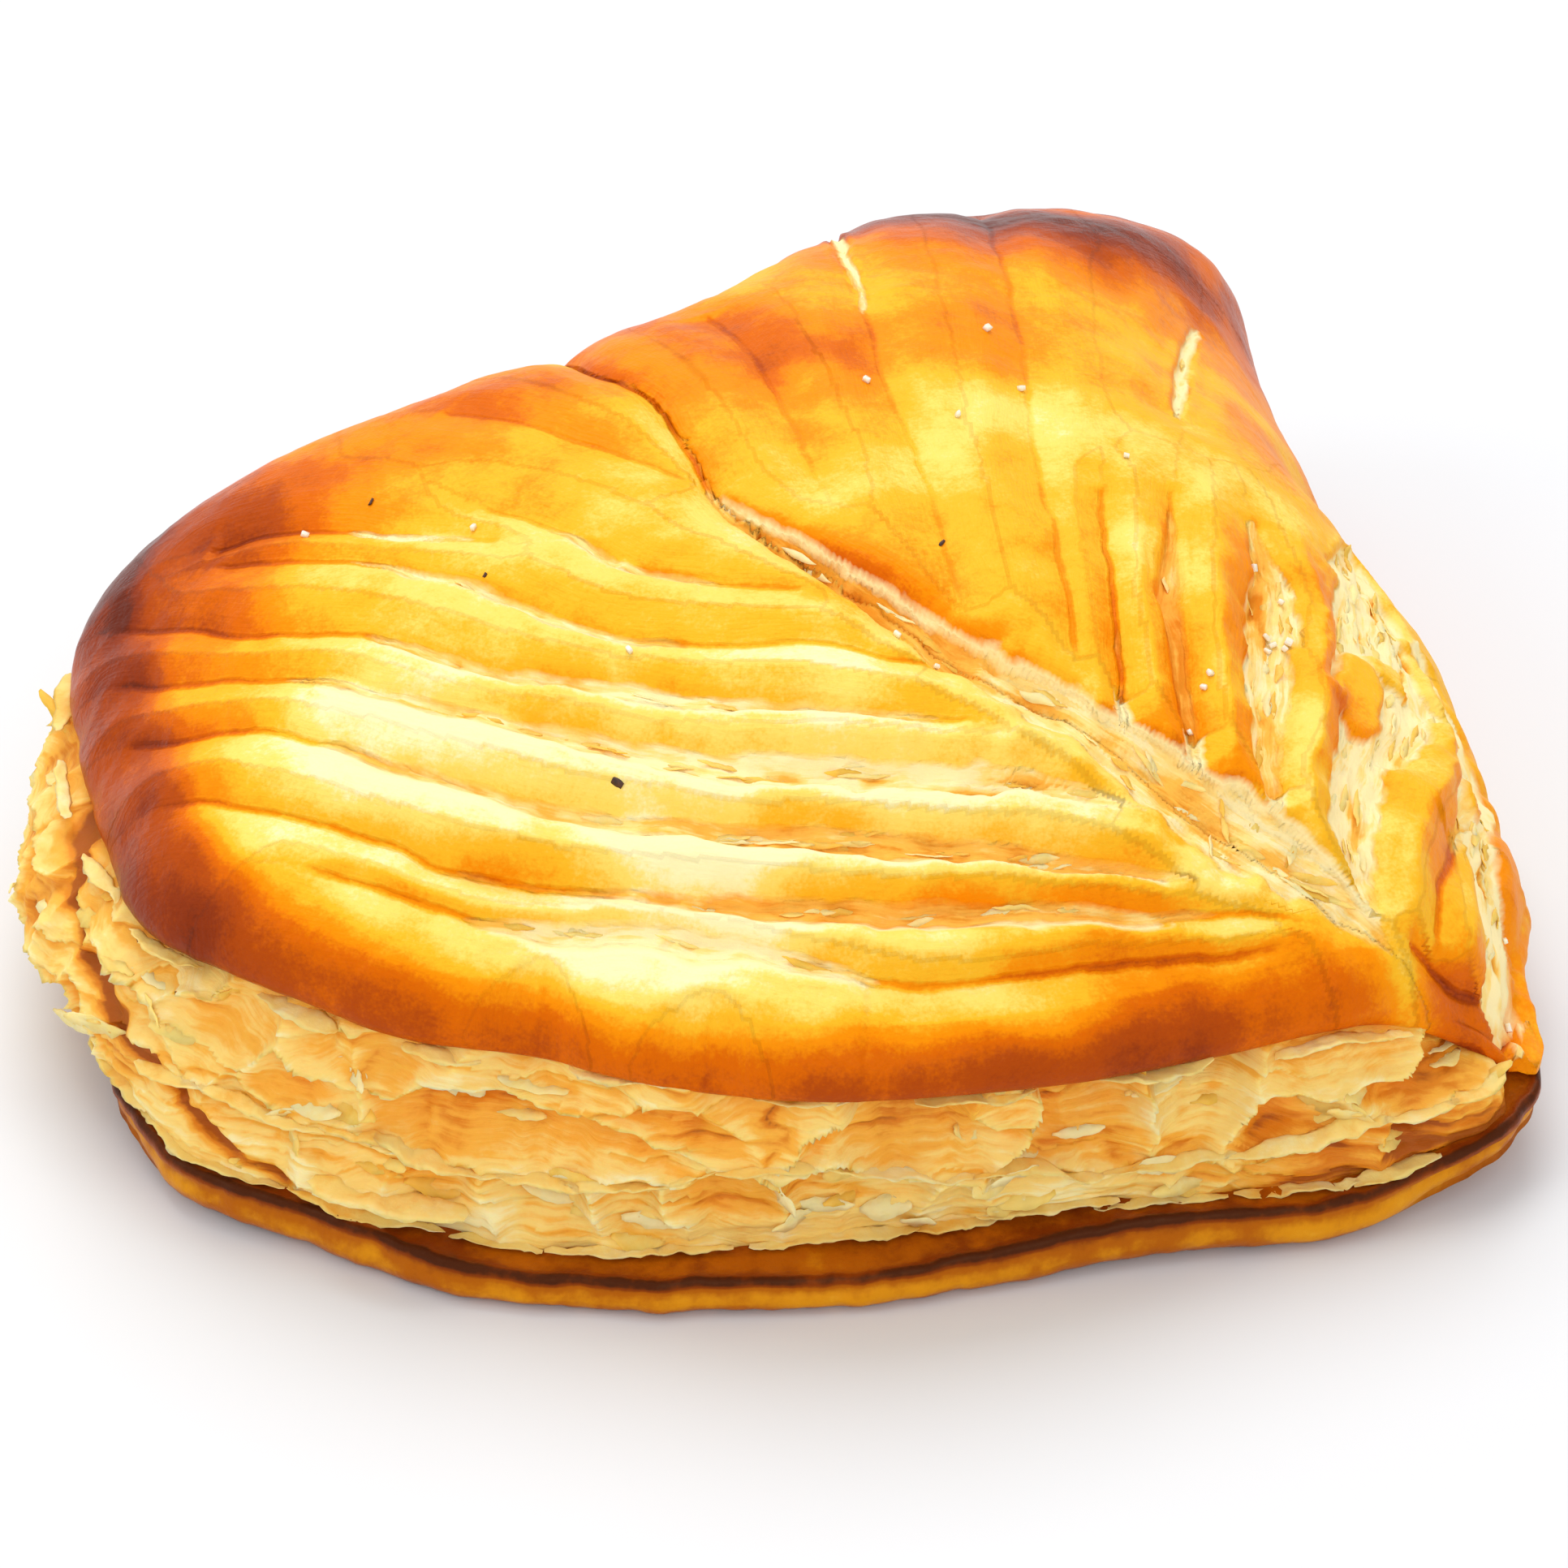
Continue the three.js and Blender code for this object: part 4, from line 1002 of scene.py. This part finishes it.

# The wall's colour: painted shade under each pocket's upper ridge, deep in the pockets, in the troughs of
# their curtains, in the fold hollows and along the vein creases; painted shadow under each standing sheet
# edge and a little painted highlight on it; the pockets' own toasting, the dark seam, darker lines between
# the layers, and darker towards the top of the wall and at its foot near the tip.
painted_shade_under_ridge = np.exp(-border_gap / 0.9) * ramp(upward, 0.0, 0.8)
wall_tone = (
    0.03 + scoop * (0.06 + 0.5 * pocket_table[owner, 6]) - 0.06 * edge_line + 0.22 * painted_shade_under_ridge
    + 0.16 * (1 - sheets) * layered + 1.0 * on_seam + 0.14 * np.maximum(-curtains, 0) * scoop
    + 0.36 * veins + 0.16 * np.clip(0.3 - folds, 0, 1) + 0.14 * ramp(wall_height / 22, 0.4, 0.8)
    + 0.38 * ledge_shadow - 0.12 * ledge
    + 0.7 * np.exp(-(wall_rise / 0.25) ** 2) * (1 - ramp(wall_place, 16, 40))
)
no_mark = np.zeros(2 * columns)         # the wall's inner points are never seen
wall_marks = {
    "tone": np.concatenate([wall_tone, no_mark + 0.5]),
    "edge_place": np.concatenate([bent_place, no_mark]),
    "edge_height": np.concatenate([sheet_rise * sheet_spacing, no_mark]),
}
layered_edge = make_piece("layered_edge", wall_points, wall_quads.tolist(), wall_marks, dry_leaves)
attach(layered_edge, "root")
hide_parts("baked_turnover")


# ---------------------------------------------------------------------------
# Loose pastry leaves. Single sheets of the dough, paper thin, stand out from the layered edge along the
# borders of the pockets, over the crust and under the rim. Each is a ragged ribbon swept along its path.
# ---------------------------------------------------------------------------
leaf_swell = 6.2            # how far a leaf follows the wall's swelling at the left end


def edge_direction(place):
    """Direction from the crown of a place along the cut edge."""
    return np.interp(cut_length - place, wanted[:WALL_COLUMNS], wall_angle[:WALL_COLUMNS])


def wall_point(place, height, outward):
    """A point on the layered edge by its place from the tip and its height, moved outwards."""
    turn = edge_direction(place)
    foot_r, foot_z = crust_towards(turn)
    rim_r, rim_z = rim_towards(turn)
    rise_share = (height - foot_z) / (rim_z - foot_z)
    held = np.clip(rise_share, 0, 1)
    ledge_width = crust_ledge(place)
    reach = (foot_r - ledge_width + (rim_r - rim_inset - foot_r + ledge_width) * rise_share
             + 1.3 * np.sin(np.pi * held) ** 0.8)
    swelling = leaf_swell * math.exp(-((place - left_end_at) / left_end_reach) ** 2)
    reach = reach + swelling * np.sin(np.pi * held ** 0.8) ** 0.6 * ramp(rise_share, -0.05, 0.12)
    reach = reach + outward
    return (crown_x + reach * math.cos(turn), crown_y + reach * math.sin(turn), height)


leaf_rng = np.random.default_rng(11)
leaf_paths = []


def lay_leaf(start, end, height_at, outward, width):
    """One leaf along the edge from start to end, at the height the rule gives."""
    count = max(int(abs(end - start) / 0.7), 4)
    path = []
    for place in np.linspace(start, end, count):
        path.append(wall_point(place, height_at(place), outward))
    leaf_paths.append((path, width))


# along the border between the upper and the lower pockets
def mid_border(place):
    """Height of the border between the two rows of pockets."""
    heights = np.linspace(6, 17, 60)
    places = np.full(60, place)
    above = pocket_field(places, heights, upper_pockets)[0]
    below = pocket_field(places, heights, lower_pockets)[0]
    return float(heights[np.argmin(np.abs(above - below))])


place = 8.0
while place < 120:
    length = leaf_rng.uniform(6, 14)
    samples = np.linspace(place, place + length, 9)
    levels = [mid_border(p) for p in samples]
    lay_leaf(place, place + length, lambda p: float(np.interp(p, samples, levels)) + 0.2,
             leaf_rng.uniform(-0.2, 0.5), leaf_rng.uniform(0.9, 1.5))
    place += length * leaf_rng.uniform(0.8, 1.05)
# over the crust and under the rim, all the way round the cut edge
for base_share, step_low, step_high, outward, spacing in (
        (0.02, 7, 16, 0.4, 1.0), (0.88, 6, 13, -0.3, 1.9)):
    place = 16.0
    while place < cut_length - 8:
        length = leaf_rng.uniform(step_low, step_high)
        lift = leaf_rng.uniform(-0.3, 0.6)

        def level(p, lift=lift, base_share=base_share):
            turn = edge_direction(p)
            foot_z, rim_z = float(crust_towards(turn)[1]), float(rim_towards(turn)[1])
            return foot_z + (rim_z - foot_z) * base_share + lift
        lay_leaf(place, min(place + length, cut_length - 4), level, outward + leaf_rng.uniform(-0.3, 0.3),
                 leaf_rng.uniform(0.8, 1.4))
        place += length * leaf_rng.uniform(0.75, 1.1) * spacing
# one broad leaf has come down over the crust in front of the left end
lay_leaf(96, 109, lambda p: 6.8 + 0.06 * (p - 96), 1.4, 2.4)
leaf_curves = bpy.data.curves.new("leaf_paths", "CURVE")
leaf_curves.dimensions = "3D"
leaf_curves.twist_mode = "Z_UP"
for path, width in leaf_paths:
    spline = leaf_curves.splines.new("POLY")
    spline.points.add(len(path) - 1)
    for index, (point, place) in enumerate(zip(spline.points, path)):
        point.co = (*(Vector(place) * mm), 1)
        share = index / (len(path) - 1)
        point.radius = width * (0.25 + 0.75 * math.sin(math.pi * share) ** 0.6)


def node_tree(name, inputs):
    """An empty geometry tree with named number inputs."""
    group = bpy.data.node_groups.new(name, "GeometryNodeTree")
    group.interface.new_socket("Geometry", in_out="INPUT", socket_type="NodeSocketGeometry")
    for label, value in inputs.items():
        kind = "NodeSocketInt" if isinstance(value, int) else "NodeSocketFloat"
        group.interface.new_socket(label, in_out="INPUT", socket_type=kind).default_value = value
    group.interface.new_socket("Geometry", in_out="OUTPUT", socket_type="NodeSocketGeometry")
    return group, group.nodes.new("NodeGroupInput"), group.nodes.new("NodeGroupOutput")


def rippled(group, shape, size, strength):
    """A shape whose points noise has moved, with lumps of about size millimetres."""
    place_now = add_node(group, "GeometryNodeInputPosition")
    ripple = add_node(group, "ShaderNodeTexNoise", {}, {"Scale": 1 / (size * mm), "Detail": 2.0})
    group.links.new(place_now.outputs["Position"], ripple.inputs["Vector"])
    centred = add_node(group, "ShaderNodeVectorMath", {"operation": "SUBTRACT"}, {1: (0.5, 0.5, 0.5)})
    group.links.new(ripple.outputs["Color"], centred.inputs[0])
    scaled = add_node(group, "ShaderNodeVectorMath", {"operation": "SCALE"})
    group.links.new(centred.outputs["Vector"], scaled.inputs[0])
    group.links.new(strength, scaled.inputs["Scale"])
    doubled = add_node(group, "ShaderNodeVectorMath", {"operation": "SCALE"}, {"Scale": 2.0})
    group.links.new(scaled.outputs["Vector"], doubled.inputs[0])
    moved = add_node(group, "GeometryNodeSetPosition")
    group.links.new(shape, moved.inputs["Geometry"])
    group.links.new(doubled.outputs["Vector"], moved.inputs["Offset"])
    return moved.outputs["Geometry"]


def grown(source, group, values, name):
    """Runs a geometry tree on an object and keeps its result as a plain mesh piece."""
    bpy.context.collection.objects.link(source)
    modifier = source.modifiers.new("make", "NODES")
    modifier.node_group = group
    for item in group.interface.items_tree:
        if item.in_out == "INPUT" and item.name in values:
            modifier[item.identifier] = values[item.name]
    seen = source.evaluated_get(bpy.context.evaluated_depsgraph_get())
    mesh = bpy.data.meshes.new_from_object(seen)
    mesh.name = name
    source.modifiers.remove(modifier)
    bpy.data.objects.remove(source)
    mesh.shade_smooth()
    piece = bpy.data.objects.new(name, mesh)
    bpy.context.collection.objects.link(piece)
    return piece


group, given, result = node_tree("leaf_ribbon", {
    "Step": 0.4 * mm, "Leaf Thickness": 0.18 * mm, "Ragged": 0.45 * mm, "Curl": 1.0 * mm})
link = group.links.new
even = add_node(group, "GeometryNodeResampleCurve", {"mode": "LENGTH"})
link(given.outputs["Geometry"], even.inputs["Curve"])
link(given.outputs["Step"], even.inputs["Length"])
outline = add_node(
    group, "GeometryNodeCurvePrimitiveQuadrilateral", {"mode": "RECTANGLE"}, {"Width": 1.9 * mm})
link(given.outputs["Leaf Thickness"], outline.inputs["Height"])
outline_fine = add_node(group, "GeometryNodeResampleCurve", {"mode": "COUNT"}, {"Count": 10})
link(outline.outputs["Curve"], outline_fine.inputs["Curve"])
swept = add_node(group, "GeometryNodeCurveToMesh", {}, {"Fill Caps": True})
link(even.outputs["Curve"], swept.inputs["Curve"])
link(outline_fine.outputs["Curve"], swept.inputs["Profile Curve"])
if "Scale" in swept.inputs:
    radius_field = add_node(group, "GeometryNodeInputRadius")
    link(radius_field.outputs["Radius"], swept.inputs["Scale"])
shifted = rippled(group, swept.outputs["Mesh"], 1.3, given.outputs["Ragged"])
shifted = rippled(group, shifted, 5.0, given.outputs["Curl"])
real = add_node(group, "GeometryNodeRealizeInstances")
link(shifted, real.inputs["Geometry"])

leaf_sheet, tree, shader = new_material("leaf_sheet")
sheet_tone = sum_up(tree, speckle(tree, 6, 2), (speckle(tree, 1.2, 3, 0.6), 0.5))
sheet_colour = colour_steps(tree, sheet_tone, [
    (0.2, (1.0, 0.83, 0.40)), (0.5, (0.99, 0.70, 0.22)), (0.8, (0.95, 0.50, 0.08))])
tree.links.new(sheet_colour, shader.inputs["Base Color"])
baked_finish(shader, 0.2, 0.3, (1.0, 0.6, 0.25), 1.0)
bumps(tree, shader, (speckle(tree, 0.5, 3, 0.6), 0.10, 0.5), (speckle(tree, 1.4, 2), 0.2, 0.4))
painted = add_node(group, "GeometryNodeSetMaterial")
painted.inputs["Material"].default_value = leaf_sheet
link(real.outputs["Geometry"], painted.inputs["Geometry"])
link(painted.outputs["Geometry"], result.inputs["Geometry"])
loose_leaves = grown(bpy.data.objects.new("leaf_paths", leaf_curves), group, {}, "loose_leaves")
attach(loose_leaves, "root")
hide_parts("baked_turnover")


# ---------------------------------------------------------------------------
# The bottom crust. It is the sheet that lay on the baking tray: firm, golden brown below, with its upper
# edge caramelised nearly black where sugar and butter ran out. It lifts off the table at its ends.
# ---------------------------------------------------------------------------
CRUST_COLUMNS = 1000        # columns of faces round the crust
crust_angle = np.linspace(-np.pi, np.pi, CRUST_COLUMNS, endpoint=False)
edge_radius, edge_height = crust_towards(crust_angle)
circle = np.stack([np.cos(crust_angle) * 60, np.sin(crust_angle) * 60, crust_angle * 0], axis=1)
edge_radius = edge_radius + 0.5 * unevenness(circle, 11, 91, 2) + 0.22 * unevenness(circle, 2.2, 92, 2)
edge_height = edge_height + 0.4 * unevenness(circle, 12, 93, 2)
lifted = np.maximum((edge_height - 4.3) * 1.3, 0)       # the underside rises where the edge is high
# each ring as inset from the edge, share of the height between underside and edge, drop and tone
crust_section = [
    (9.0, 1.0, 0.0, 0.66), (4.0, 1.0, 0.1, 0.62), (2.6, 1.0, 0.15, 0.60), (1.8, 1.0, 0.2, 0.62),
    (1.3, 1.0, 0.15, 0.66), (0.85, 1.0, 0.0, 0.76), (0.5, 1.0, -0.05, 0.94), (0.2, 1.0, 0.1, 1.0),
    (0.05, 1.0, 0.4, 0.92), (0.0, 0.93, 0.6, 0.58), (-0.1, 0.82, 0.5, 0.48), (-0.3, 0.66, 0.3, 0.40),
    (-0.45, 0.50, 0.2, 0.38), (-0.4, 0.33, 0.1, 0.44), (-0.1, 0.18, 0.0, 0.54), (0.5, 0.08, 0.0, 0.62),
    (1.4, 0.0, 0.0, 0.62), (3.5, -0.4, 0.0, 0.5), (7.5, -0.8, 0.0, 0.45), (12.0, -1.0, 0.0, 0.42),
    (26.0, -1.0, 0.0, 0.36), (36.0, -1.0, 0.0, 0.34),
]
rough_rings = range(1, 17)          # the rings that show
rings, tones = [], []
for number, (inset, share_up, drop, tone) in enumerate(crust_section):
    ring_radius = edge_radius - inset - 0.9 * ramp(lifted, 0.2, 2) * (inset < 0.5) * (share_up < 0.9)
    above = lifted + (edge_height - lifted) * share_up - drop
    below = lifted * (1 + share_up)
    ring_height = np.maximum(above if share_up >= 0 else below, 0)
    position = round_crown(ring_radius, crust_angle, ring_height)
    if number in rough_rings:
        position[:, 2] = np.maximum(position[:, 2] + 0.14 * unevenness(position, 1.6, 94, 2), 0)
    rings.append(position)
    tones.append(tone + 0.12 * unevenness(position, 8, 95, 2) + 0.07 * unevenness(position, 1.4, 96, 2))
centres = np.array([[crown_x, crown_y, edge_height.mean()], [crown_x, crown_y, 0]])
crust_points = np.concatenate(rings + [centres])
crust_faces = []
around = np.arange(CRUST_COLUMNS)
for number in range(len(rings) - 1):
    upper = number * CRUST_COLUMNS + around
    lower = upper + CRUST_COLUMNS
    crust_faces += band_between(lower, upper).tolist()
last = (len(rings) - 1) * CRUST_COLUMNS
top_centre = len(rings) * CRUST_COLUMNS
crust_faces += [[top_centre, int(k), int((k + 1) % CRUST_COLUMNS)] for k in around]
crust_faces += [[top_centre + 1, last + int((k + 1) % CRUST_COLUMNS), last + int(k)] for k in around]

tray_crust, tree, shader = new_material("tray_crust")
crust_tone = sum_up(tree, mark_value(tree, "tone"),
                    (speckle(tree, 0.7, 3, 0.6), 0.18), (speckle(tree, 3.5, 3), 0.25))
crust_colour = colour_steps(tree, crust_tone, [
    (0.0, (0.92, 0.50, 0.04)), (0.3, (0.72, 0.28, 0.006)), (0.55, (0.46, 0.115, 0.002)),
    (0.78, (0.24, 0.04, 0.002)), (1.0, (0.07, 0.014, 0.004))])
tree.links.new(crust_colour, shader.inputs["Base Color"])
baked_finish(shader, 0.16, 0.1, (1.0, 0.45, 0.15), 1.2, roughness=0.36)
shader.inputs["Specular Tint"].default_value = (1.0, 0.66, 0.35, 1)
bumps(tree, shader, (speckle(tree, 0.5, 3, 0.6), 0.12, 0.6), (speckle(tree, 1.8, 2), 0.25, 0.5))
bottom_crust = make_piece("bottom_crust", crust_points, crust_faces,
                          {"tone": np.concatenate(tones + [np.array([0.4, 0.4])])}, tray_crust)
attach(bottom_crust, "root")
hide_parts("baked_turnover")


# ---------------------------------------------------------------------------
# Flakes. Thin scales of dry dough that stand up in the torn cuts and hang over one another on the layered
# edge. They are the broken ends of its sheets, still fixed to it along one side.
# ---------------------------------------------------------------------------
group, given, result = node_tree("scattered_scales", {
    "Length": 3.0 * mm, "Width": 1.0 * mm, "Thickness": 0.14 * mm, "Taper": 0.7,
    "Ragged": 0.4 * mm, "Seed": 1})
link = group.links.new
size = add_node(group, "ShaderNodeCombineXYZ")
for socket, label in enumerate(("Length", "Width", "Thickness")):
    link(given.outputs[label], size.inputs[socket])
scale_block = add_node(
    group, "GeometryNodeMeshCube", {}, {"Vertices X": 14, "Vertices Y": 3, "Vertices Z": 2})
link(size.outputs["Vector"], scale_block.inputs["Size"])
# each scale narrows towards its two ends
spot = add_node(group, "GeometryNodeInputPosition")
apart = add_node(group, "ShaderNodeSeparateXYZ")
link(spot.outputs["Position"], apart.inputs[0])
from_middle = worked_out(group, "DIVIDE", apart.outputs["X"], given.outputs["Length"])
narrowed = worked_out(group, "MULTIPLY", worked_out(group, "POWER", from_middle, 2.0), given.outputs["Taper"])
kept = worked_out(group, "MULTIPLY_ADD", narrowed, -4.0, 1.0)
new_y = worked_out(group, "MULTIPLY", apart.outputs["Y"], kept)
together = add_node(group, "ShaderNodeCombineXYZ")
link(apart.outputs["X"], together.inputs[0])
link(new_y, together.inputs[1])
link(apart.outputs["Z"], together.inputs[2])
pointed = add_node(group, "GeometryNodeSetPosition")
link(scale_block.outputs["Mesh"], pointed.inputs["Geometry"])
link(together.outputs[0], pointed.inputs["Position"])
# one scale on every point, turned as the point says
turn = add_node(group, "GeometryNodeInputNamedAttribute", {"data_type": "FLOAT_VECTOR"}, {"Name": "turn"})
as_rotation = add_node(group, "FunctionNodeEulerToRotation")
link(turn.outputs["Attribute"], as_rotation.inputs["Euler"])
own_size = add_node(group, "FunctionNodeRandomValue", {"data_type": "FLOAT_VECTOR"})
own_size.inputs[0].default_value = (0.5, 0.6, 0.8)
own_size.inputs[1].default_value = (1.35, 1.4, 1.2)
link(given.outputs["Seed"], own_size.inputs["Seed"])
placed = add_node(group, "GeometryNodeInstanceOnPoints")
link(given.outputs["Geometry"], placed.inputs["Points"])
link(pointed.outputs["Geometry"], placed.inputs["Instance"])
link(as_rotation.outputs["Rotation"], placed.inputs["Rotation"])
link(own_size.outputs[0], placed.inputs["Scale"])
own_tone = add_node(group, "FunctionNodeRandomValue", {"data_type": "FLOAT"})
own_tone.inputs[2].default_value = 0.0
own_tone.inputs[3].default_value = 1.0
link(given.outputs["Seed"], own_tone.inputs["Seed"])
toned = add_node(group, "GeometryNodeStoreNamedAttribute",
                 {"data_type": "FLOAT", "domain": "INSTANCE"}, {"Name": "tone"})
link(placed.outputs["Instances"], toned.inputs["Geometry"])
link(own_tone.outputs[1], toned.inputs["Value"])
real = add_node(group, "GeometryNodeRealizeInstances")
link(toned.outputs["Geometry"], real.inputs["Geometry"])
ragged_scales = rippled(group, real.outputs["Geometry"], 1.5, given.outputs["Ragged"])
painted = add_node(group, "GeometryNodeSetMaterial")
link(ragged_scales, painted.inputs["Geometry"])
link(painted.outputs["Geometry"], result.inputs["Geometry"])
scale_tree, scale_paint = group, painted


def grow_scales(points, name, sheet, length, width, thickness, taper, ragged, seed):
    """A scale on every point, in one material, with its sizes in millimetres."""
    scale_paint.inputs["Material"].default_value = sheet
    return grown(points, scale_tree, {
        "Length": length * mm, "Width": width * mm, "Thickness": thickness * mm, "Taper": taper,
        "Ragged": ragged * mm, "Seed": seed}, name)


def scatter_points(name, places, headings, ups, tilts):
    """Loose points in millimetres, each with the turn of a scale that lies along heading and faces up."""
    cloud = bpy.data.meshes.new(name)
    cloud.from_pydata([tuple(place * mm) for place in places], [], [])
    turns = []
    for heading, up, tilt in zip(headings, ups, tilts):
        up = Vector(up).normalized()
        ahead = (Vector(heading) - up * Vector(heading).dot(up)).normalized()
        frame_of_scale = Matrix((ahead, up.cross(ahead), up)).transposed()
        turns += list((frame_of_scale @ Matrix.Rotation(tilt, 3, "X")).to_euler())
    cloud.attributes.new("turn", "FLOAT_VECTOR", "POINT").data.foreach_set("vector", turns)
    return bpy.data.objects.new(name, cloud)


cut_flake_count, edge_flake_count = 190, 150
flake_rng = np.random.default_rng(23)
open_spots = np.flatnonzero((opened > 0.72) & (skin_share < 1.2))
spots = flake_rng.choice(open_spots, cut_flake_count, replace=False)
# each flake lies along the stretch of knife line that is nearest to it
headings = []
for spot in skin[spots, :2]:
    line = min(score_lines, key=lambda cut: min(math.dist(spot, knot[:2]) for knot in cut[2]))[2]
    nearest = min(range(len(line) - 1), key=lambda k: math.dist(spot, line[k][:2]))
    headings.append((line[nearest + 1][0] - line[nearest][0], line[nearest + 1][1] - line[nearest][1], 0))
cut_flakes = scatter_points(
    "cut_flakes", skin[spots] + skin_normals[spots] * 0.04, headings, skin_normals[spots],
    flake_rng.normal(0, 0.3, len(spots)))

flake_sheet, tree, shader = new_material("flake_sheet")
flake_tone = sum_up(tree, mark_value(tree, "tone"),
                    (speckle(tree, 1.2, 3, 0.6), 0.5), (speckle(tree, 7, 2), 0.6))
flake_colour = colour_steps(tree, flake_tone, [
    (0.1, (1.0, 0.83, 0.38)), (0.5, (1.0, 0.70, 0.19)), (0.95, (0.97, 0.52, 0.07))])
tree.links.new(flake_colour, shader.inputs["Base Color"])
baked_finish(shader, 0.2, 0.3, (1.0, 0.6, 0.25), 1.0)
bumps(tree, shader, (speckle(tree, 0.4, 3, 0.6), 0.08, 0.5), (speckle(tree, 1.4, 2), 0.15, 0.4))
flakes_in_cuts = grow_scales(cut_flakes, "flakes_in_cuts", flake_sheet, length=3.4, width=0.6,
                             thickness=0.08, taper=0.9, ragged=0.35, seed=3)
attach(flakes_in_cuts, "root")
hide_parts("baked_turnover")

wall_normals = surface_normals(wall_points, wall_quads)
wall_spots = np.flatnonzero((wall_rise > 0.06) & (wall_rise < 0.9) & (wall_cut > 0.5))
wish = 0.35 - 0.2 * left_mask[wall_spots] + 0.5 * np.exp(-(wall_place[wall_spots] / 14) ** 2)
spots = flake_rng.choice(wall_spots, edge_flake_count, replace=False, p=wish / wish.sum())
sideways = np.stack([
    -np.sin(column_angle[spots]), np.cos(column_angle[spots]), flake_rng.normal(0, 0.07, len(spots))], axis=1)
edge_flakes = scatter_points(
    "edge_flakes", wall_points[spots] + wall_normals[spots] * 0.05, sideways, wall_normals[spots],
    flake_rng.normal(-0.32, 0.1, len(spots)))
flakes_on_edge = grow_scales(edge_flakes, "flakes_on_edge", flake_sheet, length=5.0, width=1.5,
                             thickness=0.10, taper=0.8, ragged=0.55, seed=5)
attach(flakes_on_edge, "root")
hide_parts("baked_turnover")


# ---------------------------------------------------------------------------
# Sugar grains and charred specks. A few grains of sugar were strewn on the glaze and stuck to it, and four
# crumbs burnt black. Each is a small rough block that sits on the skin.
# ---------------------------------------------------------------------------
top_of_skin = np.flatnonzero(skin_share < 1.0)


def strewn(name, list_of_places, lift):
    """Points on the skin at the given x and y, with a turn of their own."""
    rows = [top_of_skin[np.argmin(np.hypot(skin[top_of_skin, 0] - x, skin[top_of_skin, 1] - y))]
            for x, y in list_of_places]
    ways = flake_rng.normal(0, 1, (len(rows), 3))
    return scatter_points(name, skin[rows] + skin_normals[rows] * lift, ways, skin_normals[rows],
                          flake_rng.uniform(-0.8, 0.8, len(rows)))


sugar_places = [
    (-13, -27), (9, -28), (27, 7), (26, 17), (45, -18), (34, -5), (32, -38), (-38, -1), (42, -25),
    (42.8, -24.3), (43.5, -25.2), (42.2, -23.5), (44, -24), (35, -33), (34.4, -34), (12, -31), (20, 1),
    (-24, -8), (13, 8), (43, -15), (60, -41), (59, -49),
]
sugar, tree, shader = new_material("sugar")
sugar_colour = colour_steps(tree, speckle(tree, 0.4, 2), [
    (0.3, (0.98, 0.93, 0.80)), (0.7, (0.96, 0.84, 0.60))])
tree.links.new(sugar_colour, shader.inputs["Base Color"])
baked_finish(shader, 0.5, 0.4, (1.0, 0.9, 0.7), 0.6, roughness=0.22)
bumps(tree, shader, (speckle(tree, 0.2, 2), 0.06, 0.6))
sugar_grains = grow_scales(
    strewn("sugar_points", sugar_places, 0.22), "sugar_grains", sugar, length=0.62, width=0.5,
    thickness=0.42, taper=0.1, ragged=0.12, seed=8)
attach(sugar_grains, "root")
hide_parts("baked_turnover")

speck_places = [(15, -18), (-16, -39.5), (-32, 0), (-24, -15)]
charred, tree, shader = new_material("charred")
char_colour = colour_steps(tree, speckle(tree, 0.4, 2), [
    (0.3, (0.03, 0.012, 0.008)), (0.7, (0.10, 0.03, 0.012))])
tree.links.new(char_colour, shader.inputs["Base Color"])
shader.inputs["Roughness"].default_value = 0.6
bumps(tree, shader, (speckle(tree, 0.2, 2), 0.06, 0.6))
charred_specks = grow_scales(
    strewn("speck_points", speck_places, 0.0), "charred_specks", charred, length=0.75, width=0.45,
    thickness=0.22, taper=0.3, ragged=0.15, seed=13)
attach(charred_specks, "root")
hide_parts("baked_turnover")
